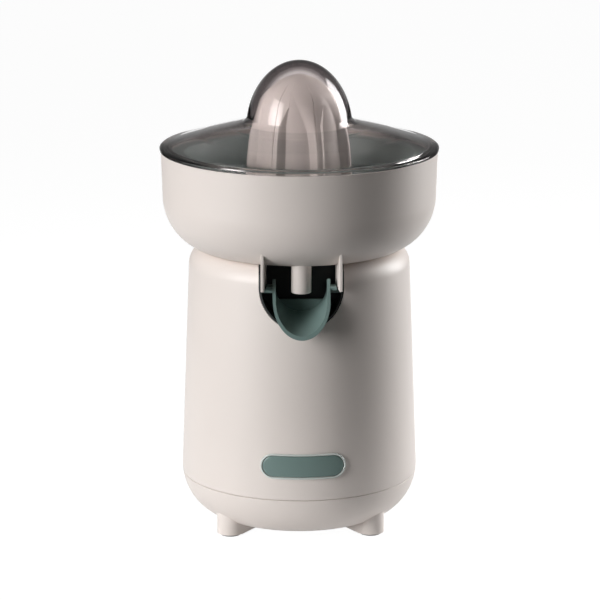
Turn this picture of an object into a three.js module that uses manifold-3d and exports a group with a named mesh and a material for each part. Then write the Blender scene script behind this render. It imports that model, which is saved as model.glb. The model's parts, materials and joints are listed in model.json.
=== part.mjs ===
// Citrus press juicer: a geared motor base under a lift-off bowl with strainer, reamer cone and clear cover.
// Millimetres, +Z up, feet on Z = 0, spindle on the Z axis, spout towards -Y.
import * as THREE from "three";
import { mergeVertices } from "three/addons/utils/BufferGeometryUtils.js";
import Module from "manifold-3d";

const wasm = await Module();
wasm.setup();

// ---- sizes ----
const GAP = 0.3; // between parts that touch
const SLIP = 0.12; // radial play of a round part in its hole
const SEGMENTS = 32; // sides of the large turned shells

const SEAM_Z = 31.5; // joint between base cover and housing
const SEAM_GAP = 0.5;
const BODY_LOW_R = 72.1; // housing radius just above the seam
const BODY_LOW_Z = 35.3;
const BODY_TOP_R = 67.25; // housing radius where the shoulder starts
const SHOULDER_Z = 161.2;
const SHOULDER_R = 11.8;
const DECK_Z = SHOULDER_Z + SHOULDER_R; // top of the housing, which all that stands on it follows
const WALL = 2.4;
const DECK_T = 2.8;
const LOW_TUCK = 0.19; // how far the housing draws in below its widest, down to the seam
const TONGUE_T = 2.3; // ring of the base cover that stands inside the housing
const TONGUE_UP = 5; // its height above the seam
const TONGUE_PLAY = 0.41;
const BASE_FLAT_R = 44.5;
const BASE_FLAT_Z = 5;

const BASE_SCREW_R = 56; // pitch radius of the screws that close the base
const BASE_SCREW_SEAT_Z = 31; // floor of their wells
const SCREW_POST_Z = 38; // foot of the housing's screw posts
const SCREW_WEB_TOP = 80;

const LEG_TURN = 49; // degrees of each leg from the front or the back
const LEG_HALF_W = 8.2;
const LEG_IN = 36; // radius of the inner end's centre
const LEG_OUT = 56.5;
const LEG_RISE_R = 54; // from here the leg's underside rises towards the middle
const LEG_RISE = 0.17;
const PAD_R = 6.4;
const PAD_STEP = 1.2; // how far the pad holds the leg off the table
const PAD_PEG_R = 4; // peg of the pad, and the depth of its hole
const PAD_DEEP = 4;

const BOWL_RIM_R = 83.65;
const BOWL_BOTTOM_Z = DECK_Z + GAP;
const BOWL_RIM_Z = BOWL_BOTTOM_Z + 57.9;
const BOWL_FOOT_R = 62.6; // edge of the flat bottom
const BOWL_SIDE_R = 82.8; // widest place of the flank, and the reach, rise and height of its round
const BOWL_ROUND_R = 30.5;
const BOWL_ROUND_H = 32.5;
const BOWL_ROUND_Z = BOWL_BOTTOM_Z + 30.6;
const BOWL_SIDE_T = 3.8;
const BOWL_FLOOR_Z = BOWL_BOTTOM_Z + 5.2; // at the chimney's foot
const CHIMNEY_R = 11.5;
const CHIMNEY_BORE = 9.3;
const CHIMNEY_Z = DECK_Z + 29;
const LEDGE_Z = BOWL_RIM_Z - 5.9;
const LEDGE_R = 80.8; // the ledge carries the strainer's flange
const LEDGE_W = 3;

const STRAINER_LOW = DECK_Z + 19.4;
const STRAINER_T = 1.6;
const STRAINER_FLOOR_R = 61.5;
const STRAINER_CLEAR = 5.8; // room between the basket's top and the ledge
const COLLAR_PLAY = 0.8; // strainer's collar round the chimney
const COLLAR_T = 1.5;
const COLLAR_H = 6.6;
const SLOT_LENGTH = 19;
const SLOT_WIDTH = 1.8;
const SLOT_R = 48.5;

const TOWER_R = 8.7;
const TOWER_BORE = 6.5;
const TOWER_Z = DECK_Z + 23;
const HUB_R = 10; // boss under the deck that the washer runs against
const HUB_DROP = 2.2;

const COVER_R = 84.4;
const COVER_LOW_Z = BOWL_RIM_Z + GAP;
const DOME_R = 32.3;
const DOME_H = 42.32;
const DOME_Z = COVER_LOW_Z + 11.77;
const COVER_T = 1.8;
const COVER_RING_R = 80.3; // ring under the brim that drops inside the bowl's rim
const COVER_RING_T = 1.6;
const COVER_RING_DROP = 3.1;

const NICHE_R = 25.25; // half width of the spout niche and radius of its round bottom
const NICHE_Z = DECK_Z - 12.8;
const NICHE_BACK = -45;
const LINER_T = 1.1;

const SPOUT_R = 17;
const SPOUT_T = 1.8;
const SPOUT_SLOPE = 14; // degrees the trough falls towards the front
const SPOUT_LIP_Y = -84;
const SPOUT_LIP_Z = DECK_Z - 39.6;
const PIVOT_Y = -60;

const NOZZLE_Y = -58;
const NOZZLE_R = 6;
const NOZZLE_BORE = 4.4;
const NOZZLE_Z = DECK_Z - 16.5;
const GUARD_IN = 22.2; // inner face of a guard at its front edge
const GUARD_T = 1.9;
const GUARD_FRONT = -71.2;
const GUARD_REAR = -50;
const GUARD_TOE = 1.8; // how much closer the guards stand at the rear
const GUARD_Z = DECK_Z - 13.4;
const PIN_R = 1.4; // stub pins of the spout
const PIVOT_Z = GUARD_Z - GAP - PIN_R;

const SHAFT_R = 3;
const SHAFT_LOW = DECK_Z - 34.4;
const SHAFT_TOP = DECK_Z + 41;
const PRESS = 2.5; // travel of the spindle under a pressed fruit
const HEX_R = 7.5; // drive head, across corners / 2
const HEX_PLAY = 0.3;
const HEAD_LOW = DECK_Z + 30.5, HEAD_TOP = HEAD_LOW + 18.5;
const WASHER_T = 1.9;

const PLATE_LOW = DECK_Z - 30; // gearbox plate
const PLATE_T = 3;
const PLATE_TOP = PLATE_LOW + PLATE_T;
const PLATE_POSTS = [[44, 12], [-44, 12], [33, -30], [-33, -30]];

const WHEEL_TEETH = 40, PINION_TEETH = 10; // both stages, 4 to 1 each
const OUTPUT_MODULE = 1.4;
const MOTOR_MODULE = 1.12;
const OUT_FACE = 7; // width of the output gear's teeth
const WHEEL_FACE = 4.5; // and of the idler's large wheel
const AXLE_R = 2.5;
const MOTOR_SHAFT_R = 1.6;
const IDLER = [0, 35];
const MOTOR = [14, 35 - 28 * Math.sin(Math.PI / 3)]; // 28 mm from the idler, 60 degrees round
const STACK_LOW = PLATE_LOW - 53, STACK_H = 22; // laminations of the motor's frame
const STACK_TOP = STACK_LOW + STACK_H;
const BOLT_Y = [MOTOR[1] - 18.6, MOTOR[1] + 18.6];

const BADGE_Z = 52.8;
const BADGE_X = 0.9;
const BADGE_W = 51;
const BADGE_H = 15.2;
const BADGE_RIM_W = 1;
const GLAND_Z = 48;
const GLAND_R = 8; // flange, hole in the wall and bore
const GLAND_HOLE_R = 5;
const GLAND_BORE = 3.2;

// ---- colours ----
const white = { color: 0xe6ddd7, roughness: 0.35, metalness: 0 };
const teal = { color: 0x5f7c74, roughness: 0.35, metalness: 0 };
const clear = { color: 0xd5dada, roughness: 0.05, metalness: 0 };
const steel = { color: 0xb8babc, roughness: 0.35, metalness: 1 };
const iron = { color: 0x7b7d80, roughness: 0.5, metalness: 1 };
const bronze = { color: 0xa9834e, roughness: 0.5, metalness: 1 };
const copper = { color: 0xb06a3c, roughness: 0.4, metalness: 1 };
const rubber = { color: 0x3a3c3e, roughness: 0.8, metalness: 0 };
const nylon = { color: 0xe9e5d8, roughness: 0.5, metalness: 0 };
const black = { color: 0x202224, roughness: 0.5, metalness: 0 };
const pale = { color: 0xd9e0dd, roughness: 0.3, metalness: 0 };

// ---- making solids ----
const part = new THREE.Group();
part.name = "citrus_press_juicer";
const rad = THREE.MathUtils.degToRad;

function solid(geometry) {
  const bare = geometry.clone();
  bare.deleteAttribute("normal");
  bare.deleteAttribute("uv");
  const merged = mergeVertices(bare, 1e-4);
  const index = merged.index.array;
  const kept = [];
  for (let i = 0; i < index.length; i += 3) {
    const [a, b, c] = [index[i], index[i + 1], index[i + 2]];
    if (a !== b && b !== c && c !== a) kept.push(a, b, c);
  }
  return new wasm.Manifold(new wasm.Mesh({
    numProp: 3,
    vertProperties: merged.attributes.position.array,
    triVerts: new Uint32Array(kept),
  }));
}

// Turned about Z from a closed outline of [radius, z] points, moved to x, y.
function turned(outline, segments = 28, x = 0, y = 0) {
  let twice = 0;
  outline.forEach(([r, z], i) => {
    const [r2, z2] = outline[(i + 1) % outline.length];
    twice += r * z2 - r2 * z;
  });
  const points = (twice > 0 ? outline : [...outline].reverse()).map(([r, z]) => new THREE.Vector2(r, z));
  points.push(points[0].clone());
  const geometry = new THREE.LatheGeometry(points, segments);
  geometry.rotateX(Math.PI / 2);
  geometry.translate(x, y, 0);
  return solid(geometry);
}
// A straight round rod between two heights.
const rod = (r, low, high, x = 0, y = 0, segments = 12) =>
  turned([[0, low], [r, low], [r, high], [0, high]], segments, x, y);
const tube = (r, bore, low, high, x = 0, y = 0, segments = 12) =>
  turned([[bore, low], [r, low], [r, high], [bore, high]], segments, x, y);
function block(x0, x1, y0, y1, z0, z1) {
  const geometry = new THREE.BoxGeometry(x1 - x0, y1 - y0, z1 - z0);
  geometry.translate((x0 + x1) / 2, (y0 + y1) / 2, (z0 + z1) / 2);
  return solid(geometry);
}
// A flat outline raised from low to high; turn and shift place it after that.
function raised(shape, low, high, curve = 12, place = () => {}) {
  const geometry = new THREE.ExtrudeGeometry(shape, {
    depth: high - low, bevelEnabled: false, curveSegments: curve,
  });
  geometry.translate(0, 0, low);
  place(geometry);
  return solid(geometry);
}
// The same, standing in the XZ plane and running along Y from near to far.
const alongY = (shape, near, far, curve = 12) =>
  raised(shape, -far, -near, curve, (g) => g.rotateX(Math.PI / 2));
function outlineOf(points) {
  const shape = new THREE.Shape();
  points.forEach(([x, y], i) => (i ? shape.lineTo(x, y) : shape.moveTo(x, y)));
  return shape;
}
const arc = (r0, z0, a, b, from, to, steps) =>
  Array.from({ length: steps + 1 }, (_, i) => {
    const t = rad(from + ((to - from) * i) / steps);
    return [r0 + a * Math.cos(t), z0 + b * Math.sin(t)];
  });
const join = (first, ...rest) => rest.reduce((a, b) => a.add(b), first);
const cut = (first, ...rest) => rest.reduce((a, b) => a.subtract(b), first);

function add(name, body, finish) {
  const mesh = body.getMesh();
  const count = mesh.numVert;
  const positions = new Float32Array(count * 3);
  for (let i = 0; i < count; i++)
    for (let k = 0; k < 3; k++) positions[3 * i + k] = mesh.vertProperties[i * mesh.numProp + k];
  const geometry = new THREE.BufferGeometry();
  geometry.setAttribute("position", new THREE.BufferAttribute(positions, 3));
  geometry.setIndex(new THREE.BufferAttribute(new Uint32Array(mesh.triVerts), 1));
  const made = new THREE.Mesh(geometry, new THREE.MeshStandardMaterial(finish));
  made.name = name;
  part.add(made);
}

// A stadium in plan: half width w, straight from a to b along X, turned and used for legs and badge.
function stadium(a, b, w) {
  const shape = new THREE.Shape();
  shape.moveTo(a, -w);
  shape.lineTo(b, -w);
  shape.absarc(b, 0, w, -Math.PI / 2, Math.PI / 2, false);
  shape.lineTo(a, w);
  shape.absarc(a, 0, w, Math.PI / 2, (3 * Math.PI) / 2, false);
  return shape;
}

// ---- base cover: the dished bottom with its four legs ----
const baseTop = SEAM_Z - SEAM_GAP / 2;
const seamR = BODY_LOW_R - LOW_TUCK;
const tongueR = seamR - WALL - TONGUE_PLAY;
const tongueIn = tongueR - TONGUE_T;
const baseOuter = [
  [0, BASE_FLAT_Z],
  ...arc(BASE_FLAT_R, BODY_LOW_Z, BODY_LOW_R - BASE_FLAT_R, BODY_LOW_Z - BASE_FLAT_Z, -90, -7.8, 6),
];
const baseRim = baseOuter[baseOuter.length - 1][0];
const legAngles = [90 - LEG_TURN, 90 + LEG_TURN, 270 - LEG_TURN, 270 + LEG_TURN];
const padPlaces = legAngles.map((a) => [LEG_OUT * Math.cos(rad(a)), LEG_OUT * Math.sin(rad(a))]);
const leg = (angle) =>
  raised(stadium(LEG_IN, LEG_OUT, LEG_HALF_W), PAD_STEP, baseTop - 3, 4, (g) => g.rotateZ(rad(angle)));
// The wedge of air between a leg's rising underside and the table.
const underLeg = (angle) => raised(
  outlineOf([[0, 0], [LEG_RISE_R, PAD_STEP], [0, PAD_STEP + LEG_RISE * LEG_RISE_R]]),
  -LEG_HALF_W - 1, LEG_HALF_W + 1, 1, (g) => { g.rotateX(Math.PI / 2); g.rotateZ(rad(angle)); });
const baseScrews = [20, 160, 200, 340].map((a) => [BASE_SCREW_R * Math.cos(rad(a)), BASE_SCREW_R * Math.sin(rad(a))]);

let base = turned([...baseOuter, [baseRim, baseTop], [0, baseTop]], SEGMENTS);
for (const a of legAngles) base = base.add(cut(leg(a), underLeg(a)));
base = base.subtract(turned([
  [0, BASE_FLAT_Z + WALL],
  ...arc(BASE_FLAT_R - 0.5, BODY_LOW_Z - 1.3, tongueIn - BASE_FLAT_R + 0.7, BODY_LOW_Z - 1.3 - BASE_FLAT_Z - WALL,
    -90, -8, 4),
  [tongueIn, baseTop + 1], [0, baseTop + 1],
], SEGMENTS));
base = base.add(tube(tongueR, tongueIn, baseTop - 3, SEAM_Z + TONGUE_UP, 0, 0, SEGMENTS));
const baseFull = turned([...baseOuter, [baseRim, SCREW_POST_Z], [0, SCREW_POST_Z]], SEGMENTS);
const screwHeadR = 3.8, screwR = 1.7;
for (const [x, y] of baseScrews) {
  base = base.add(rod(screwHeadR + 2.4, BASE_FLAT_Z - 1.4, SCREW_POST_Z - 0.4, x, y).intersect(baseFull));
  base = cut(base, rod(screwHeadR + 0.6, 0, BASE_SCREW_SEAT_Z, x, y), rod(screwR + 0.4, 30, SCREW_POST_Z + 1, x, y));
}
for (let i = -3; i <= 3; i++)
  base = base.subtract(block(-15, 15, 5 * i - 1.3, 5 * i + 1.3, BASE_FLAT_Z - 1.4, BASE_FLAT_Z + WALL + 1.2));
for (const [x, y] of padPlaces) base = base.subtract(rod(PAD_PEG_R + GAP, 0, PAD_DEEP, x, y));
add("base_cover", base, white);

const padTop = PAD_STEP - GAP, pegTop = PAD_DEEP - 0.4;
const padSide = [[0, 0], [PAD_R, 0], [PAD_R, padTop], [PAD_PEG_R, padTop], [PAD_PEG_R, pegTop], [0, pegTop]];
padPlaces.forEach(([x, y], i) => add("foot_pad_" + (i + 1), turned(padSide, 20, x, y), rubber));
const headTop = BASE_SCREW_SEAT_Z - GAP;
baseScrews.forEach(([x, y], i) =>
  add("base_screw_" + (i + 1), turned([[0, headTop - 2.7], [screwHeadR, headTop - 2.7], [screwHeadR, headTop],
    [screwR, headTop], [screwR, SCREW_POST_Z + 11], [0, SCREW_POST_Z + 13]], 10, x, y), steel));

// ---- main housing ----
const housingLow = SEAM_Z + SEAM_GAP / 2;
const shoulderR = BODY_TOP_R - SHOULDER_R;
const housingOuter = [
  [seamR, housingLow], [BODY_LOW_R, BODY_LOW_Z],
  ...arc(shoulderR, SHOULDER_Z, SHOULDER_R, SHOULDER_R, 0, 90, 5),
];
const bodyR = (z) => BODY_LOW_R + ((BODY_TOP_R - BODY_LOW_R) * (z - BODY_LOW_Z)) / (SHOULDER_Z - BODY_LOW_Z);
const underDeck = DECK_Z - DECK_T;
const hubLow = underDeck - HUB_DROP;
const axleSeat = hubLow - 0.5, axleTop = axleSeat + 2.1; // the deck's socket for the idler's axle
let housing = turned([
  ...housingOuter, [TOWER_R, DECK_Z], [TOWER_R, TOWER_Z], [TOWER_BORE, TOWER_Z], [TOWER_BORE, hubLow],
  [HUB_R, hubLow], [HUB_R, underDeck],
  ...arc(shoulderR, SHOULDER_Z, SHOULDER_R - WALL, underDeck - SHOULDER_Z, 90, 0, 3),
  [BODY_LOW_R - WALL, BODY_LOW_Z], [seamR - WALL, housingLow],
], SEGMENTS);
for (const [x, y] of PLATE_POSTS) {
  housing = housing.add(rod(4.2, PLATE_TOP + GAP, underDeck + 1, x, y));
  housing = housing.subtract(rod(1.4, PLATE_TOP - 1, PLATE_TOP + 12, x, y));
}
const webReach = bodyR(SCREW_WEB_TOP) - 0.73; // ends inside the wall at its thinnest radius
for (const [x, y] of baseScrews) {
  const a = Math.atan2(y, x);
  const web = new THREE.BoxGeometry(webReach - BASE_SCREW_R, 3, SCREW_WEB_TOP - SCREW_POST_Z - 2);
  web.translate((BASE_SCREW_R + webReach) / 2, 0, (SCREW_WEB_TOP + SCREW_POST_Z + 2) / 2);
  web.rotateZ(a);
  housing = join(housing, rod(4.5, SCREW_POST_Z, SCREW_WEB_TOP, x, y), solid(web));
  housing = housing.subtract(rod(screwR + 0.15, SCREW_POST_Z - 1, SCREW_POST_Z + 16, x, y));
}
housing = housing.add(rod(5.5, axleSeat, underDeck + 1, ...IDLER));
housing = housing.subtract(rod(AXLE_R + SLIP, axleSeat - 1, axleTop + 0.4, ...IDLER));
const nicheShape = (r, top) => {
  const shape = new THREE.Shape();
  shape.moveTo(-r, top);
  shape.lineTo(-r, NICHE_Z);
  shape.absarc(0, NICHE_Z, r, Math.PI, 2 * Math.PI, false);
  shape.lineTo(r, top);
  return shape;
};
const nicheFront = -BODY_LOW_R - 18;
housing = housing.subtract(alongY(nicheShape(NICHE_R, DECK_Z + 12), nicheFront, NICHE_BACK, 14));
const glandHole = (r, near, far, segments = 20) => {
  const g = new THREE.CylinderGeometry(r, r, far - near, segments);
  g.translate(0, (near + far) / 2, GLAND_Z);
  return solid(g);
};
const glandFace = bodyR(GLAND_Z - GLAND_R) + GAP; // outer and inner faces of the wall there
const glandBack = bodyR(GLAND_Z + GLAND_R) - WALL - 0.5;
housing = housing.subtract(glandHole(GLAND_HOLE_R, glandBack - 8, glandFace + 5));
add("main_housing", housing, white);

// ---- spout niche lining ----
const bodySolid = turned([[0, 100], [bodyR(100), 100], ...housingOuter.slice(2), [0, DECK_Z]], SEGMENTS);
const linerR = NICHE_R - GAP, linerIn = linerR - LINER_T;
let liner = alongY(nicheShape(linerR, DECK_Z + 2), nicheFront, NICHE_BACK - GAP, 14);
liner = liner.subtract(alongY(nicheShape(linerIn, DECK_Z + 12), nicheFront - 5, NICHE_BACK - GAP - LINER_T, 14));
liner = liner.intersect(bodySolid);
const crossPin = (r, half, segments = 12) => {
  const g = new THREE.CylinderGeometry(r, r, 2 * half, segments);
  g.rotateZ(Math.PI / 2);
  g.translate(0, PIVOT_Y, PIVOT_Z);
  return solid(g);
};
liner = liner.subtract(crossPin(PIN_R + SLIP, NICHE_R + 5));
add("niche_liner", liner, black);

// ---- badge: a bare plate in a thin pale rim ----
function badgePiece(w, h, proud, hole) {
  const shape = stadium(-(w - h) / 2, (w - h) / 2, h / 2);
  const onFront = (g) => {
    g.rotateX(Math.PI / 2);
    g.translate(BADGE_X, 0, BADGE_Z);
  };
  let piece = raised(shape, BODY_TOP_R - 12, BODY_LOW_R + 13, 8, onFront);
  const inside = stadium(-(w - h) / 2, (w - h) / 2, h / 2 - hole);
  if (hole) piece = piece.subtract(raised(inside, BODY_TOP_R - 16, BODY_LOW_R + 18, 8, onFront));
  const [low, high] = [BADGE_Z - BADGE_H, BADGE_Z + BADGE_H];
  return piece.intersect(turned([
    [bodyR(low) + GAP, low], [bodyR(low) + proud, low], [bodyR(high) + proud, high], [bodyR(high) + GAP, high],
  ], SEGMENTS * 1.5));
}
const plateInset = 2 * (BADGE_RIM_W + GAP);
add("badge_rim", badgePiece(BADGE_W, BADGE_H, 1.5, BADGE_RIM_W), pale);
add("badge_plate", badgePiece(BADGE_W - plateInset, BADGE_H - plateInset, 1.2, 0), teal);

// ---- cord gland in the rear wall ----
let gland = join(glandHole(GLAND_R, glandFace, glandFace + 3.2, 28),
  glandHole(GLAND_HOLE_R - GAP, glandBack - 2.2, glandFace + 1),
  glandHole(GLAND_HOLE_R + 1.6, glandBack - 2.2, glandBack, 24));
gland = gland.subtract(glandHole(GLAND_BORE, glandBack - 8, glandFace + 5));
add("cord_gland", gland, black);

// ---- bowl with chimney, drain nozzle and the two spout guards ----
const bowlOuter = [
  [BOWL_RIM_R, BOWL_RIM_Z],
  ...arc(BOWL_SIDE_R - BOWL_ROUND_R, BOWL_ROUND_Z, BOWL_ROUND_R, BOWL_ROUND_H, 0, -68, 6),
  [BOWL_FOOT_R, BOWL_BOTTOM_Z],
];
const bowlInner = [
  [CHIMNEY_R, BOWL_FLOOR_Z],
  ...arc(BOWL_SIDE_R - BOWL_ROUND_R - 0.3, BOWL_ROUND_Z + 0.1, BOWL_ROUND_R + 0.3 - BOWL_SIDE_T,
    BOWL_ROUND_H - 4.7, -74, 0, 4),
  [LEDGE_R - LEDGE_W, LEDGE_Z], [LEDGE_R, LEDGE_Z], [LEDGE_R + 0.25, BOWL_RIM_Z + 2], [CHIMNEY_R, BOWL_RIM_Z + 2],
];
let bowl = turned([...bowlOuter, [0, BOWL_BOTTOM_Z], [0, BOWL_RIM_Z]], SEGMENTS);
bowl = bowl.add(rod(NOZZLE_R, NOZZLE_Z, BOWL_FLOOR_Z + 1.5, 0, NOZZLE_Y, 24));
const guardIn = (y) => GUARD_IN - (GUARD_TOE * (y - GUARD_FRONT)) / (GUARD_REAR - GUARD_FRONT);
for (const s of [-1, 1]) {
  const plan = [GUARD_FRONT, GUARD_REAR].flatMap((y) => [[guardIn(y), y], [guardIn(y) + GUARD_T, y]]);
  const [a, b, c, d] = plan.map(([x, y]) => [s * x, y]);
  bowl = bowl.add(raised(outlineOf([a, b, d, c]), GUARD_Z, BOWL_FLOOR_Z + 5.5));
}
bowl = bowl.subtract(turned(bowlInner, SEGMENTS));
bowl = bowl.subtract(rod(CHIMNEY_R + 1, CHIMNEY_Z, BOWL_RIM_Z + 3, 0, 0, SEGMENTS));
bowl = bowl.subtract(rod(CHIMNEY_BORE, BOWL_BOTTOM_Z - 3, CHIMNEY_Z + 2, 0, 0, SEGMENTS / 2));
bowl = bowl.subtract(rod(NOZZLE_BORE, NOZZLE_Z - 1, BOWL_FLOOR_Z + 7.5, 0, NOZZLE_Y, 24));
add("juice_bowl", bowl, white);

// ---- strainer basket ----
const slots = 20;
const collarIn = CHIMNEY_R + COLLAR_PLAY, collarTop = STRAINER_LOW + COLLAR_H;
const flangeZ = LEDGE_Z + GAP, flangeR = LEDGE_R - 0.4;
const strainerTopR = LEDGE_R - LEDGE_W - STRAINER_CLEAR;
const strainerTurnR = STRAINER_FLOOR_R + 5.5, strainerTurnZ = STRAINER_LOW + 5.6; // where floor becomes wall
let strainer = turned([
  [collarIn + COLLAR_T, STRAINER_LOW + STRAINER_T], [collarIn + COLLAR_T, collarTop], [collarIn, collarTop],
  [collarIn, STRAINER_LOW], [STRAINER_FLOOR_R, STRAINER_LOW], [strainerTurnR, strainerTurnZ],
  [strainerTopR, flangeZ], [flangeR, flangeZ], [flangeR, flangeZ + STRAINER_T],
  [strainerTopR - STRAINER_T, flangeZ + STRAINER_T], [strainerTurnR - STRAINER_T, strainerTurnZ + 0.6],
  [STRAINER_FLOOR_R - 0.7, STRAINER_LOW + STRAINER_T],
], SEGMENTS);
for (let i = 0; i < slots; i++) {
  const g = new THREE.BoxGeometry(SLOT_LENGTH, SLOT_WIDTH, 4 * STRAINER_T);
  g.translate(SLOT_R, 0, STRAINER_LOW);
  g.rotateZ((2 * Math.PI * (i + 0.5)) / slots);
  strainer = strainer.subtract(solid(g));
}
add("strainer", strainer, teal);

// ---- reamer cone: seven ribs, with a pointed groove and a broad valley between each two ----
const RIBS = 7;
const CONE_LOW = DECK_Z + 27;
const CONE_H = 77.2;
const GROOVE_TURN = -15.5; // degrees from the front to the first groove, seen from above
const GROOVE_TOP = 61; // heights above the cone's rim, as are those of the crest
const GROOVE_RUN = 11; // height over which a groove opens to its full width
const VALLEY_TOP = 70;
const VALLEY_RUN = 45; // the same for a valley's width, and for its depth
const VALLEY_FALL = 32;
const FLUTE_START = 2;
const FLUTE_DEPTH = 5.2;
// Across a rib, in degrees from the groove: its steep face, the far side of the valley, and the crest.
const STEEP_FROM = -11, STEEP_TO = -3.5, VALLEY_END = 28, CREST_AT = 35;
const STEEP_SHARE = 0.92; // of the flute's depth, under the steep face
const CREST_END = 0.5; // degrees left between a crest and the next steep face
const CONE_WALL = 1.8; // under the valleys
const CONE_ROOM_TOP = 63;
const crest = [[34, 0], [33.7, 3], [32.8, 16], [31.6, 30], [30.3, 40], [28.5, 47], [26.6, 53.5],
  [25.1, 58], [23.6, 62], [20.6, 66], [16, 70], [10, 74.2], [4.4, 76.4]];
function coneSkin() {
  const period = 360 / RIBS;
  const positions = [];
  crest.forEach(([r, z]) => {
    const opened = Math.min(1, Math.max(0, (VALLEY_TOP - z) / VALLEY_RUN));
    const wide = Math.pow(Math.min(1, Math.max(0.1, (GROOVE_TOP - z) / GROOVE_RUN)), 0.8);
    const deep = z < FLUTE_START ? 0 : FLUTE_DEPTH * Math.min(1, Math.max(0, (VALLEY_TOP - z) / VALLEY_FALL));
    const far = Math.max(3, VALLEY_END * (1 - Math.pow(1 - opened, 2.6)));
    const [left, right] = [STEEP_FROM * wide, STEEP_TO * wide];
    const chord = (angle) => (angle - STEEP_FROM) / (far - STEEP_FROM);
    const foot = chord(right) + (STEEP_SHARE - chord(right)) * Math.sqrt(wide);
    const across = [[left, chord(left)], [right, foot], [(right + far) / 2, (foot + 1) / 2], [far, 1], [CREST_AT, 0],
      [period + STEEP_FROM - CREST_END, 0]];
    for (let k = 0; k < RIBS; k++)
      for (const [angle, share] of across) {
        const rr = r - deep * share, turn = rad(k * period + GROOVE_TURN + angle);
        positions.push([rr * Math.sin(turn), -rr * Math.cos(turn), CONE_LOW + z]);
      }
  });
  const columns = RIBS * 6, rows = crest.length;
  const index = [];
  for (let j = 0; j + 1 < rows; j++)
    for (let i = 0; i < columns; i++) {
      const [a, b] = [j * columns + i, j * columns + ((i + 1) % columns)];
      index.push(a, b, b + columns, a, b + columns, a + columns);
    }
  const bottom = positions.push([0, 0, CONE_LOW]) - 1;
  const top = positions.push([0, 0, CONE_LOW + CONE_H]) - 1;
  for (let i = 0; i < columns; i++) {
    const next = (i + 1) % columns;
    index.push(bottom, next, i, top, (rows - 1) * columns + i, (rows - 1) * columns + next);
  }
  const geometry = new THREE.BufferGeometry();
  geometry.setAttribute("position", new THREE.BufferAttribute(new Float32Array(positions.flat()), 3));
  geometry.setIndex(index);
  return solid(geometry);
}
const hexRod = (r, low, high) => {
  const g = new THREE.CylinderGeometry(r, r, high - low, 6);
  g.rotateX(Math.PI / 2);
  g.translate(0, 0, (low + high) / 2);
  return solid(g);
};
const coneHubR = HEX_R + 2.5; // the socket's wall, which starts above the spindle seal
let cone = coneSkin();
const coneRoom = crest.filter(([, z]) => z <= GROOVE_TOP - GROOVE_RUN)
  .map(([r, z]) => [r - FLUTE_DEPTH - CONE_WALL, CONE_LOW + z]);
cone = cone.subtract(turned([
  [coneHubR, CONE_LOW - 1], [coneRoom[0][0], CONE_LOW - 1], ...coneRoom, [coneHubR, CONE_LOW + CONE_ROOM_TOP],
], 28));
cone = cone.subtract(rod(coneHubR + 0.5, CONE_LOW - 1, CHIMNEY_Z + 4, 0, 0, 28));
cone = cone.subtract(hexRod(HEX_R + HEX_PLAY, CHIMNEY_Z + 2, HEAD_TOP + GAP));
add("reamer_cone", cone, white);

// ---- clear dust cover ----
const brim = [[42, 14.2], [60, 9.3]]; // the sloping brim, as radius and height over its edge
const coverOuter = [
  [0, DOME_Z + DOME_H],
  ...arc(0, DOME_Z, DOME_R, DOME_H, 80, 8, 7),
  [DOME_R + 2.2, COVER_LOW_Z + 16.5], ...brim.map(([r, z]) => [r, COVER_LOW_Z + z]), [78, COVER_LOW_Z + 3.45],
  [COVER_R - 0.8, COVER_LOW_Z + 2.3],
  [COVER_R, COVER_LOW_Z + 1.5], [COVER_R, COVER_LOW_Z],
];
const ringIn = COVER_RING_R - COVER_RING_T;
const coverInner = [
  [COVER_RING_R, COVER_LOW_Z], [COVER_RING_R, COVER_LOW_Z - COVER_RING_DROP], [ringIn, COVER_LOW_Z - COVER_RING_DROP],
  [ringIn, COVER_LOW_Z + 1.3], ...[...brim].reverse().map(([r, z]) => [r, COVER_LOW_Z + z - COVER_T]),
  [DOME_R + 0.7, COVER_LOW_Z + 15.1], ...arc(0, DOME_Z, DOME_R - COVER_T, DOME_H - COVER_T, 9, 78, 5),
  [0, DOME_Z + DOME_H - COVER_T],
];
add("dust_cover", turned([...coverOuter, ...coverInner], SEGMENTS), clear);

// ---- spout: a tilting trough on two moulded stub pins ----
const slope = rad(SPOUT_SLOPE);
const troughShape = (r, side) => {
  const shape = new THREE.Shape();
  shape.moveTo(-r, side);
  shape.lineTo(-r, 0);
  shape.absarc(0, 0, r, Math.PI, 2 * Math.PI, false);
  shape.lineTo(r, side);
  return shape;
};
// The trough runs along Y and is sheared so that it falls towards the lip while its back wall stays upright.
const lipCentreZ = SPOUT_LIP_Z + SPOUT_R;
const fall = new THREE.Matrix4().set(1, 0, 0, 0, 0, 1, 0, 0, 0, Math.tan(slope), 1, 0, 0, 0, 0, 1);
const trough = (r, side, near, far) => raised(troughShape(r, side), -far, -near, 10, (g) => {
  g.rotateX(Math.PI / 2);
  g.translate(0, -SPOUT_LIP_Y, 0);
  g.applyMatrix4(fall);
  g.translate(0, SPOUT_LIP_Y, lipCentreZ);
});
const SPOUT_BACK = -49.4; // outside of the back wall
const EAR_TOP = GUARD_Z + 1.7, EAR_T = 2.2;
const SPOUT_BACK_TOP = PIVOT_Z - 7.4; // top of the back wall
const earFront = PIVOT_Y - 5, earRear = PIVOT_Y + 2.5;
let spout = trough(SPOUT_R, 12, SPOUT_LIP_Y - 8, SPOUT_BACK);
spout = spout.subtract(trough(SPOUT_R - SPOUT_T, 40, SPOUT_LIP_Y - 15, SPOUT_BACK - SPOUT_T));
const frontCut = outlineOf([[-62, EAR_TOP + 4.2], [SPOUT_LIP_Y, SPOUT_LIP_Z - 0.2], [SPOUT_LIP_Y - 0.2, 100],
  [-130, 100], [-130, 200], [-30, 200], [-30, EAR_TOP - GAP], [-48, EAR_TOP - GAP]]);
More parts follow.
